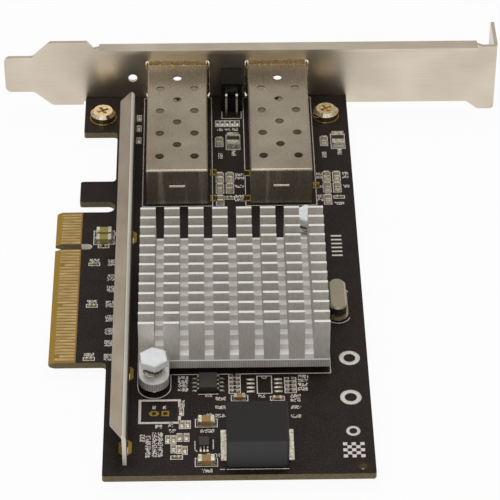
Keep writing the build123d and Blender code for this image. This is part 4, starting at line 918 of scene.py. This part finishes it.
def line_tree():
    """Turns every loose edge into a flat printed bar of the given width and thickness."""
    tree, entry, leave = group_tree("printed_line", (
        ("Line Width", "NodeSocketFloat", LINE_WIDTH * MM),
        ("Thickness", "NodeSocketFloat", PRINT_THICKNESS * MM),
        ("Finish", "NodeSocketMaterial", None),
    ))
    curve = add(tree, "GeometryNodeMeshToCurve", {"Mesh": entry.outputs["Geometry"]}, "Curve")
    upright = add(tree, "GeometryNodeSetCurveNormal", {"Curve": curve}, "Curve", mode="Z_UP")
    profile = add(
        tree, "GeometryNodeCurvePrimitiveQuadrilateral",
        {"Width": entry.outputs["Line Width"], "Height": entry.outputs["Thickness"]}, "Curve",
    )
    bar = add(
        tree, "GeometryNodeCurveToMesh",
        {"Curve": upright, "Profile Curve": profile, "Fill Caps": True}, "Mesh",
    )
    return close_tree(tree, entry, leave, bar)


def stamp_tree(name, shape):
    """Sets a shape, made by a function or by one node, on every point."""
    tree, entry, leave = group_tree(name, (("Finish", "NodeSocketMaterial", None),))
    solid = shape(tree) if callable(shape) else add(tree, *shape, "Mesh")
    return close_tree(tree, entry, leave, set_on_points(tree, entry, solid))


def ring_shape(tree):
    """A flat ring of unit outer radius with a hole of a bit over half of it."""
    circle = add(
        tree, "GeometryNodeCurvePrimitiveCircle", {"Resolution": 20, "Radius": 0.78}, "Curve"
    )
    section = add(
        tree, "GeometryNodeCurvePrimitiveQuadrilateral", {"Width": 0.44, "Height": 1.0}, "Curve"
    )
    return add(
        tree, "GeometryNodeCurveToMesh", {"Curve": circle, "Profile Curve": section}, "Mesh"
    )


def wedge_shape(tree):
    """A unit block whose outer top edge is drawn in to a slope, like solder at a part's end."""
    block = add(tree, *BLOCK, "Mesh")
    axes = add(tree, "ShaderNodeSeparateXYZ", {0: add(tree, "GeometryNodeInputPosition", out=0)})
    outer, upper = (
        add(
            tree, "FunctionNodeCompare", {0: axes.outputs[axis], 1: 0.0}, 0,
            operation="GREATER_THAN",
        )
        for axis in ("X", "Z")
    )
    both = add(tree, "FunctionNodeBooleanMath", {0: outer, 1: upper}, 0, operation="AND")
    return add(
        tree, "GeometryNodeSetPosition",
        {"Geometry": block, "Selection": both, "Offset": (-0.8, 0.0, 0.0)}, "Geometry",
    )


def tick_tree():
    """Fills every cell with a small grid of ink spots, some of them left out by the seed."""
    tree, entry, leave = group_tree("printed_ticks", (
        ("Spot", "NodeSocketFloat", TICK_SPOT * MM),
        ("Thickness", "NodeSocketFloat", PRINT_THICKNESS * MM),
        ("Fill", "NodeSocketFloat", TICK_FILL), ("Seed", "NodeSocketInt", SEED),
        ("Finish", "NodeSocketMaterial", None),
    ))
    grid = add(
        tree, "GeometryNodeMeshGrid",
        {"Size X": 1.0, "Size Y": 1.0, "Vertices X": 3, "Vertices Y": 5}, "Mesh",
    )
    corners = add(tree, "GeometryNodeMeshToPoints", {"Mesh": grid}, "Points")
    cells = set_on_points(tree, entry, corners)
    spots = add(tree, "GeometryNodeRealizeInstances", {"Geometry": cells}, "Geometry")
    chance = add(
        tree, "FunctionNodeRandomValue",
        {"Probability": entry.outputs["Fill"], "Seed": entry.outputs["Seed"]},
        3, data_type="BOOLEAN",
    )
    spot = entry.outputs["Spot"]
    spot_size = add(
        tree, "ShaderNodeCombineXYZ", {"X": spot, "Y": spot, "Z": entry.outputs["Thickness"]}, 0
    )
    block = add(tree, "GeometryNodeMeshCube", {"Size": spot_size}, "Mesh")
    inked = add(
        tree, "GeometryNodeInstanceOnPoints",
        {"Points": spots, "Selection": chance, "Instance": block}, "Instances",
    )
    return close_tree(tree, entry, leave, inked)


def edge_mesh(name, segments):
    """A mesh of loose edges from (x, y, x, y) segments in millimetres."""
    mesh = bpy.data.meshes.new(name)
    points = []
    edges = []
    for x0, y0, x1, y1 in segments:
        edges.append((len(points), len(points) + 1))
        points += [Vector((x0, y0, PRINT_Z)) * MM, Vector((x1, y1, PRINT_Z)) * MM]
    mesh.from_pydata(points, edges, [])
    return mesh


def draw_lines(name, segments, width, finish_name, settings):
    """Draws segments in millimetres as one piece of flat bars, with their width in metres."""
    source = edge_mesh(f"{name}_lines", segments)
    values = {"Line Width": width, "Thickness": PRINT_THICKNESS * MM}
    return apply_tree(name, source, line_tree(), values, finish_name, settings)


def outline(x0, y0, x1, y1, width):
    """The four sides of a frame whose corners meet without overlapping."""
    half = width / 2
    return [
        (x0 - half, y0, x1 + half, y0), (x0 - half, y1, x1 + half, y1),
        (x0, y0 + half, x0, y1 - half), (x1, y0 + half, x1, y1 - half),
    ]


def stamp(name, shape, places, finish_name, settings):
    """Stamps a shape on (place, size, turn in degrees) entries, all in millimetres.

    A turn is about the upright axis, and a shape under the board is tipped over as well.
    """
    source = point_mesh(
        f"{name}_points", [place for place, size, turn in places],
        size=[Vector(size) * MM for place, size, turn in places],
        turn=[
            (math.pi if place[2] < BOARD_BACK / MM else 0.0, 0.0, math.radians(turn))
            for place, size, turn in places
        ],
    )
    return apply_tree(name, source, stamp_tree(name, shape), {}, finish_name, settings)


def board_top():
    """A search tree of the board's mesh, to find where the board really is."""
    mesh = bmesh.new()
    mesh.from_mesh(frame["nodes"]["circuit_board"].data)
    found = BVHTree.FromBMesh(mesh)
    mesh.free()
    return found


def on_board(tree, x, y, margin):
    """Whether the board's top lies under a place and under eight places round it."""
    spots = [(x, y)] + [
        (x + margin * math.cos(turn * math.pi / 4), y + margin * math.sin(turn * math.pi / 4))
        for turn in range(8)
    ]
    for spot_x, spot_y in spots:
        start = Vector((spot_x * MM, spot_y * MM, 1 * MM))
        hit = tree.ray_cast(start, Vector((0, 0, -1)), 2 * MM)[0]
        if hit is None or abs(hit.z) > BOARD_SLACK * MM:
            return False
    return True


def clear_of_parts(x, y, boxes, margin):
    """Whether a place on the board keeps the margin from every part's box."""
    return all(
        x < low.x - margin or x > high.x + margin or y < low.y - margin or y > high.y + margin
        for low, high in boxes
    )


def arc(x, y, radius, start, end, steps):
    """Short segments along an arc, angles in degrees."""
    angles = [math.radians(start + (end - start) * step / steps) for step in range(steps + 1)]
    points = [(x + radius * math.cos(a), y + radius * math.sin(a)) for a in angles]
    return [(*first, *second) for first, second in zip(points, points[1:])]


def fillet(end, centre, axis, run, share, tall):
    """A wedge of solder on an end's outer face, as (place, size, turn in degrees).

    The end is a box, the centre is the middle of its part, and share is how much of the end's
    width the solder takes.
    """
    side = 1 if middle(end)[axis] > centre[axis] else -1
    face = end[1][axis] if side > 0 else end[0][axis]
    wide = end[1][1 - axis] - end[0][1 - axis]
    place = Vector((0, 0, tall / 2))
    place[axis] = face + side * run / 2
    place[1 - axis] = middle(end)[1 - axis]
    turn = (0 if side > 0 else 180) if axis == 0 else 90 * side
    return place, (run, share * wide, tall), turn


class CardColours(bpy.types.PropertyGroup):
    """Colours of the card's own finishes, as sRGB hex text."""

    mask_dark: bpy.props.StringProperty(
        name="Mask dark", description="Darker tone of the solder mask", default="#120c0a")
    mask_light: bpy.props.StringProperty(
        name="Mask light", description="Lighter tone of the solder mask", default="#1f1714")
    mask_track: bpy.props.StringProperty(
        name="Mask over tracks", description="Mask where copper runs under it", default="#3b302a")
    ink_dark: bpy.props.StringProperty(
        name="Ink thin", description="Legend ink where it printed thin", default="#cdc2ba")
    ink_light: bpy.props.StringProperty(
        name="Ink full", description="Legend ink where it printed full", default="#f2ebe4")
    gold_dark: bpy.props.StringProperty(
        name="Gold worn", description="Contact gold in its wipe marks", default="#b0935e")
    gold_light: bpy.props.StringProperty(
        name="Gold", description="Contact gold", default="#d2b985")
    nickel_dark: bpy.props.StringProperty(
        name="Bracket dark", description="Bracket plating, darker", default="#c9bdab")
    nickel_light: bpy.props.StringProperty(
        name="Bracket light", description="Bracket plating, lighter", default="#dfd4c3")
    cage_dark: bpy.props.StringProperty(
        name="Cage dark", description="Cage sheet, darker", default="#9a8e7c")
    cage_light: bpy.props.StringProperty(
        name="Cage light", description="Cage sheet, lighter", default="#b3a896")
    sink_dark: bpy.props.StringProperty(
        name="Sink dark", description="Heat sink, in its cut marks", default="#cfcbc4")
    sink_light: bpy.props.StringProperty(
        name="Sink light", description="Heat sink, plain", default="#dedad3")
    ferrite_dark: bpy.props.StringProperty(
        name="Ferrite dark", description="Inductor grain, darker", default="#0a0a09")
    ferrite_light: bpy.props.StringProperty(
        name="Ferrite light", description="Inductor grain, lighter", default="#1f1e1c")
    ceramic_dark: bpy.props.StringProperty(
        name="Ceramic dark", description="Capacitor ceramic, darker", default="#8a6434")
    ceramic_light: bpy.props.StringProperty(
        name="Ceramic light", description="Capacitor ceramic, lighter", default="#b1884e")


class CardSizes(bpy.types.PropertyGroup):
    """Sizes of the print and solder, in metres."""

    line_width: bpy.props.FloatProperty(
        name="Print line", description="Width of a printed line", default=LINE_WIDTH * MM,
        unit="LENGTH")
    frame_gap: bpy.props.FloatProperty(
        name="Frame gap", description="From a chip part to its printed frame",
        default=0.3 * MM, unit="LENGTH")
    header_line: bpy.props.FloatProperty(
        name="Header line", description="Width of the header's bold frame", default=0.6 * MM,
        unit="LENGTH")
    fillet_run: bpy.props.FloatProperty(
        name="Solder run", description="How far solder runs out from a chip part",
        default=0.35 * MM, unit="LENGTH")
    tick_spot: bpy.props.FloatProperty(
        name="Tick spot", description="Side of one ink spot in a tick",
        default=TICK_SPOT * MM, unit="LENGTH")
    tick_fill: bpy.props.FloatProperty(
        name="Tick fill", description="Share of a tick's spots that are inked",
        default=TICK_FILL, subtype="FACTOR", min=0.0, max=1.0)
    via_count: bpy.props.IntProperty(
        name="Vias", description="Number of vias scattered over the free board", default=55,
        min=0)
    via_radius: bpy.props.FloatProperty(
        name="Via radius", description="Outer radius of a plated via", default=0.28 * MM,
        unit="LENGTH")
    seed: bpy.props.IntProperty(
        name="Seed", description="Seed of the scattered vias and print marks", default=SEED)


class StageSettings(bpy.types.PropertyGroup):
    """The studio: camera from the photograph and plain soft lamps."""

    lens: bpy.props.FloatProperty(
        name="Lens", description="Focal length on a 36 mm wide sensor", default=183.3,
        subtype="DISTANCE_CAMERA")
    pitch: bpy.props.FloatProperty(
        name="Pitch", description="How far the camera looks down",
        default=math.radians(39.24), subtype="ANGLE")
    yaw: bpy.props.FloatProperty(
        name="Yaw", description="How far the camera turns right", default=math.radians(1.17),
        subtype="ANGLE")
    roll: bpy.props.FloatProperty(
        name="Roll", description="How far the camera tips", default=math.radians(0.13),
        subtype="ANGLE")
    place: bpy.props.FloatVectorProperty(
        name="Camera place", description="Where the camera stands",
        default=(0.0351, -0.44957, 0.3658), subtype="TRANSLATION")
    key_energy: bpy.props.FloatProperty(
        name="Key lamp", description="Power of the overhead lamp", default=2.2, subtype="POWER")
    front_energy: bpy.props.FloatProperty(
        name="Front lamp", description="Power of the lamp beside the camera", default=1.6,
        subtype="POWER")
    sky: bpy.props.FloatProperty(
        name="Room light", description="Strength of the room's even light", default=0.55)


class CARD_OT_finishes(bpy.types.Operator):
    """Give every CAD node the finish of its material slot"""

    bl_idname = "card.finishes"
    bl_label = "Finish the card's parts"

    def execute(self, context):
        settings = context.scene.card_colours
        for part in frame["record"]["subparts"]:
            node = frame["nodes"][part["node"]]
            node.data.materials.clear()
            node.data.materials.append(finish(part["material_slot"], settings))
        return {"FINISHED"}


class CARD_OT_print_lines(bpy.types.Operator):
    """Print the frames round the parts, the ports, the heat sink and the header"""

    bl_idname = "card.print_lines"
    bl_label = "Print the outlines"

    def execute(self, context):
        colours = context.scene.card_colours
        sizes = context.scene.card_sizes
        width = sizes.line_width / MM
        gap = sizes.frame_gap / MM + sizes.fillet_run / MM
        segments = []
        for kind in CHIP_KINDS:
            for _, ends, axis in chips(kind):
                low = Vector([min(end[0][k] for end in ends) for k in range(2)])
                high = Vector([max(end[1][k] for end in ends) for k in range(2)])
                grow = Vector((gap, width)) if axis == 0 else Vector((width, gap))
                low -= grow
                high += grow
                segments += outline(low.x, low.y, high.x, high.y, width)
        for corner in (SPARE_OUTLINE, LAMP_FRAME, LEFT_CAGE_FRAME, RIGHT_CAGE_FRAME):
            segments += outline(*corner, width)

        # Half-round notch at the end of the empty footprint
        x_middle = (SPARE_OUTLINE[0] + SPARE_OUTLINE[2]) / 2
        segments += arc(x_middle, SPARE_OUTLINE[3] - width, SPARE_NOTCH, 180, 360, 8)

        # Heat sink outline with the round lobe of its near push pin
        low, high = box_mm("heat_sink")
        near = middle(min(islands("push_pins"), key=lambda box: box[0].y))
        base_low = near.y + PIN_TO_BASE - SINK_MARGIN
        left, right = low.x - SINK_MARGIN, high.x + SINK_MARGIN
        stop = high.y - SINK_LINE_STOP
        segments += [
            (near.x + PIN_RING, base_low, right, base_low), (right, base_low, right, stop),
            (left, near.y, left, stop),
            (near.x + PIN_RING, near.y, near.x + PIN_RING, base_low - width / 2),
        ]
        segments += arc(near.x, near.y, PIN_RING, 180, 360, 18)

        # Lines beside the inductor, the load switch and the flash memory, and round the crystal
        for node, marks in PART_MARKS.items():
            corners = box_mm(node)
            for mark in marks:
                segments.append([
                    corners[side][index % 2] + offset
                    for index, (side, offset) in enumerate(mark)
                ])
        low, high = box_mm("crystal_can")
        x_middle = middle((low, high)).x
        for y, start in ((low.y + CRYSTAL_ARC_INSET, 200), (high.y - CRYSTAL_ARC_INSET, 20)):
            segments += arc(x_middle, y, CRYSTAL_ARC_RADIUS, start, start + 140, 12)

        draw_lines("print_outlines", segments, sizes.line_width, "legend_ink", colours)
        bold = outline(*HEADER_FRAME, sizes.header_line / MM)
        draw_lines("print_header_frame", bold, sizes.header_line, "legend_ink", colours)
        return {"FINISHED"}


class CARD_OT_print_ticks(bpy.types.Operator):
    """Print the rows of small ticks beside the parts"""

    bl_idname = "card.print_ticks"
    bl_label = "Print the ticks"

    def execute(self, context):
        colours = context.scene.card_colours
        sizes = context.scene.card_sizes
        cells = []
        turns = []
        for rows, down in ((TICKS_ACROSS, False), (TICKS_DOWN, True)):
            for x, y, count in rows:
                for index in range(count):
                    along = (index - (count - 1) / 2) * CELL_PITCH
                    cells.append((x, y - along, PRINT_Z) if down else (x + along, y, PRINT_Z))
                    turns.append((0.0, 0.0, -math.pi / 2 if down else 0.0))
        size = Vector((CELL_WIDTH - CELL_GAP, CELL_HEIGHT - CELL_GAP, 1.0)) * MM
        source = point_mesh("ticks_source", cells, turn=turns, size=[size] * len(cells))
        apply_tree(
            "print_ticks", source, tick_tree(),
            {
                "Spot": sizes.tick_spot, "Thickness": PRINT_THICKNESS * MM,
                "Fill": sizes.tick_fill, "Seed": sizes.seed,
            },
            "legend_ink", colours,
        )
        return {"FINISHED"}


class CARD_OT_print_edge(bpy.types.Operator):
    """Print the plain test row along the far edge: bars, rings and a chequered patch"""

    bl_idname = "card.print_edge"
    bl_label = "Print the edge row"

    def execute(self, context):
        colours = context.scene.card_colours
        bar = (*EDGE_BAR_SIZE, PRINT_THICKNESS)
        cell = (EDGE_PATCH_PITCH, EDGE_PATCH_PITCH, PRINT_THICKNESS)
        blocks = [((x, y, PRINT_Z), bar, 0) for x, y in EDGE_BARS]
        x0, y0 = EDGE_PATCH
        span = (EDGE_PATCH_CELLS - 1) / 2
        for row in range(EDGE_PATCH_CELLS):
            for column in range(EDGE_PATCH_CELLS):
                if (row + column) % 2 == 0:
                    place = (
                        x0 + (column - span) * EDGE_PATCH_PITCH,
                        y0 + (row - span) * EDGE_PATCH_PITCH, PRINT_Z,
                    )
                    blocks.append((place, cell, 0))
        stamp("print_edge_blocks", BLOCK, blocks, "legend_ink", colours)
        rings = [
            ((x, y, PRINT_Z), (radius, radius, PRINT_THICKNESS), 0)
            for (x, y), radius in EDGE_RINGS
        ]
        stamp("print_edge_rings", ring_shape, rings, "legend_ink", colours)
        return {"FINISHED"}


class CARD_OT_crests(bpy.types.Operator):
    """Set the pressed crests on the spring bands' side fingers, close to the port windows"""

    bl_idname = "card.crests"
    bl_label = "Press the finger crests"

    def execute(self, context):
        colours = context.scene.card_colours
        crests = [
            ((centre + side * CREST_REACH, CREST_Y, z), CREST_SIZE, 0)
            for centre in PORT_CENTRES for side in (-1, 1) for z in CREST_ROWS
        ]
        made = stamp("spring_crests", BLOCK, crests, "spring_copper", colours)
        return {"FINISHED"}


class CARD_OT_vias(bpy.types.Operator):
    """Scatter mask-covered vias over the free board, and set the lands beside the cages"""

    bl_idname = "card.vias"
    bl_label = "Place the vias"

    def execute(self, context):
        colours = context.scene.card_colours
        sizes = context.scene.card_sizes
        radius = sizes.via_radius / MM
        taken = []
        for node in frame["nodes"]:
            if node not in ("circuit_board", "edge_contacts", "bracket"):
                taken += islands(node)
        taken += [(Vector((x0, y0, 0)), Vector((x1, y1, 0))) for x0, y0, x1, y1 in VIA_FREE]
        low, high = box_mm("circuit_board")
        board = board_top()
        draw = random.Random(sizes.seed)
        places = []
        while len(places) < sizes.via_count:
            x = draw.uniform(low.x + VIA_BORDER, high.x - VIA_BORDER)
            y = draw.uniform(low.y + VIA_BORDER, high.y - VIA_BORDER)
            if not on_board(board, x, y, radius + VIA_MARGIN):
                continue
            if clear_of_parts(x, y, taken, radius + VIA_MARGIN):
                places.append((x, y))
                taken.append((Vector((x, y, 0)), Vector((x, y, 0))))
        rings = []
        for x, y in places:
            for z in (PRINT_Z, BOARD_BACK / MM - PRINT_Z):
                rings.append(((x, y, z), (radius, radius, PRINT_THICKNESS), 0))
        made = stamp("tented_vias", ring_shape, rings, "solder_mask", colours)
        frames = []
        for x, y in CAGE_LANDS:
            frames += outline(
                x - LAND_REACH[0], y - LAND_REACH[1], x + LAND_REACH[0], y + LAND_REACH[1],
                LAND_LINE,
            )
        made = draw_lines("cage_lands", frames, LAND_LINE * MM, "flash_gold", colours)
        return {"FINISHED"}


class CARD_OT_solder(bpy.types.Operator):
    """Run solder up the ends of the parts, over the free lands and round the pins below"""

    bl_idname = "card.solder"
    bl_label = "Solder the parts"

    def execute(self, context):
        colours = context.scene.card_colours
        sizes = context.scene.card_sizes
        run = sizes.fillet_run / MM
        wedges = [
            fillet(end, middle(body), axis, run, FILLET_SHARE, FILLET_CLIMB * end[1].z)
            for kind in CHIP_KINDS for body, ends, axis in chips(kind) for end in ends
        ]
        for node, axis in LEAD_ROWS:
            centre = middle(box_mm(node))
            wedges += [
                fillet(lead, centre, axis, run, LEAD_FILLET_SHARE, LEAD_FILLET_HEIGHT)
                for lead in islands(node)
            ]
        stamp("solder_fillets", wedge_shape, wedges, "tin", colours)

        pillows = []
        for low, high in islands("spare_lands"):
            x, y = middle((low, high)).xy
            place = (x, y, high.z + PILLOW_HEIGHT / 2)
            pillows.append((place, (high.x - low.x, high.y - low.y, PILLOW_HEIGHT), 0))
        stamp("land_solder", PILLOW, pillows, "tin", colours)

        cones = []
        for node, radius in SOLDERED_PINS:
            for x, y in pin_places(node):
                place = (x, y, BOARD_BACK / MM - CONE_HEIGHT / 2)
                cones.append((place, (radius, radius, CONE_HEIGHT), 0))
        stamp("solder_cones", CONE, cones, "tin", colours)
        return {"FINISHED"}


class CARD_OT_stage(bpy.types.Operator):
    """Set the floor, the lamps, the room and the photograph's camera"""

    bl_idname = "card.stage"
    bl_label = "Set the stage"

    def execute(self, context):
        scene = context.scene
        stage = scene.card_stage
        mesh = bpy.data.meshes.new("floor")
        corners = ((-1, -1), (1, -1), (1, 1), (-1, 1))
        mesh.from_pydata(
            [(x * FLOOR_REACH, y * FLOOR_REACH, FLOOR_Z) for x, y in corners],
            [], [(0, 1, 2, 3)],
        )
        mesh.materials.append(studio_paper())
        floor = bpy.data.objects.new("floor", mesh)
        scene.collection.objects.link(floor)

        # The lamps' side, place and aim are in metres
        for name, energy, size, place, aim in (
            ("key_lamp", stage.key_energy, 0.6, (0.0, 0.12, 0.75), (0.03, -0.01, 0.0)),
            ("front_lamp", stage.front_energy, 0.5, (-0.25, -0.7, 0.55), (0.03, 0.0, 0.0)),
        ):
            lamp = bpy.data.lights.new(name, "AREA")
            lamp.energy = energy
            lamp.shape = "SQUARE"
            lamp.size = size
            holder = bpy.data.objects.new(name, lamp)
            look = Vector(aim) - Vector(place)
            holder.matrix_world = (
                Matrix.Translation(place) @ look.to_track_quat("-Z", "Y").to_matrix().to_4x4()
            )
            scene.collection.objects.link(holder)

        world = bpy.data.worlds.new("room")
        scene.world = world
        world.use_nodes = True
        tree = world.node_tree
        tree.nodes.clear()
        direction = add(tree, "ShaderNodeTexCoord", out="Generated")
        height = add(tree, "ShaderNodeSeparateXYZ", {0: direction}, "Z")
        wall, ceiling = (
            add(
                tree, "ShaderNodeMapRange", {"Value": height, "From Min": low, "From Max": high},
                "Result",
            )
            for low, high in ((WALL_FROM, CEILING_FROM), (CEILING_FROM, 1.0))
        )
        room = add(
            tree, "ShaderNodeMix", {0: wall, 6: "#ece8e2", 7: "#a8a49d"}, 2, data_type="RGBA"
        )
        room = add(
            tree, "ShaderNodeMix", {0: ceiling, 6: room, 7: "#ffffff"}, 2, data_type="RGBA"
        )
        soft = add(tree, "ShaderNodeBackground", {"Color": room, "Strength": stage.sky}, 0)
        bright = add(tree, "ShaderNodeBackground", {"Color": room, "Strength": 1.0}, 0)
        white = add(tree, "ShaderNodeBackground", {"Color": "#ffffff", "Strength": 1.0}, 0)
        rays = add(tree, "ShaderNodeLightPath")
        mirrored = add(
            tree, "ShaderNodeMath",
            {0: rays.outputs["Is Glossy Ray"], 1: rays.outputs["Is Transmission Ray"]}, 0,
            operation="MAXIMUM",
        )
        shown = add(tree, "ShaderNodeMixShader", {0: mirrored, 1: soft, 2: bright}, 0)
        blend = add(
            tree, "ShaderNodeMixShader", {0: rays.outputs["Is Camera Ray"], 1: shown, 2: white}
        )
        leave = add(tree, "ShaderNodeOutputWorld", {"Surface": blend.outputs[0]})
        leave.is_active_output = True

        lens = bpy.data.cameras.new("camera")
        lens.lens = stage.lens
        lens.sensor_width = SENSOR_WIDTH
        lens.clip_start = CLIP_START
        camera = bpy.data.objects.new("camera", lens)
        forward = Vector((
            math.sin(stage.yaw) * math.cos(stage.pitch),
            math.cos(stage.yaw) * math.cos(stage.pitch), -math.sin(stage.pitch),
        ))
        level = Vector((math.cos(stage.yaw), -math.sin(stage.yaw), 0))
        upright = level.cross(forward)
        right = math.cos(stage.roll) * level + math.sin(stage.roll) * upright
        up = math.cos(stage.roll) * upright - math.sin(stage.roll) * level
        turn = Matrix((right, up, -forward)).transposed().to_4x4()
        camera.matrix_world = Matrix.Translation(stage.place) @ turn
        scene.collection.objects.link(camera)
        scene.camera = camera
        scene.view_settings.view_transform = "Standard"
        return {"FINISHED"}


class CARD_PT_panel(bpy.types.Panel):
    """Lists the card's steps in the sidebar"""

    bl_idname = "CARD_PT_panel"
    bl_label = "Network Card"
    bl_space_type = "VIEW_3D"
    bl_region_type = "UI"
    bl_category = "Network Card"

    def draw(self, context):
        for step in STEPS:
            self.layout.operator(step.bl_idname)


STEPS = (
    CARD_OT_finishes, CARD_OT_print_lines, CARD_OT_print_ticks, CARD_OT_print_edge,
    CARD_OT_crests, CARD_OT_vias, CARD_OT_solder, CARD_OT_stage,
)
CLASSES = (CardColours, CardSizes, StageSettings, *STEPS, CARD_PT_panel)


def register():
    """Registers the classes and the settings that they keep on the scene."""
    for item in CLASSES:
        bpy.utils.register_class(item)
    bpy.types.Scene.card_colours = bpy.props.PointerProperty(type=CardColours)
    bpy.types.Scene.card_sizes = bpy.props.PointerProperty(type=CardSizes)
    bpy.types.Scene.card_stage = bpy.props.PointerProperty(type=StageSettings)


def unregister():
    """Removes the settings and the classes."""
    del bpy.types.Scene.card_stage
    del bpy.types.Scene.card_sizes
    del bpy.types.Scene.card_colours
    for item in reversed(CLASSES):
        bpy.utils.unregister_class(item)


def main():
    """Runs every step in order."""
    register()
    bpy.ops.card.finishes()
    bpy.ops.card.print_lines()
    bpy.ops.card.print_ticks()
    bpy.ops.card.print_edge()
    bpy.ops.card.crests()
    bpy.ops.card.vias()
    bpy.ops.card.solder()
    bpy.ops.card.stage()


if __name__ == "__main__":
    main()
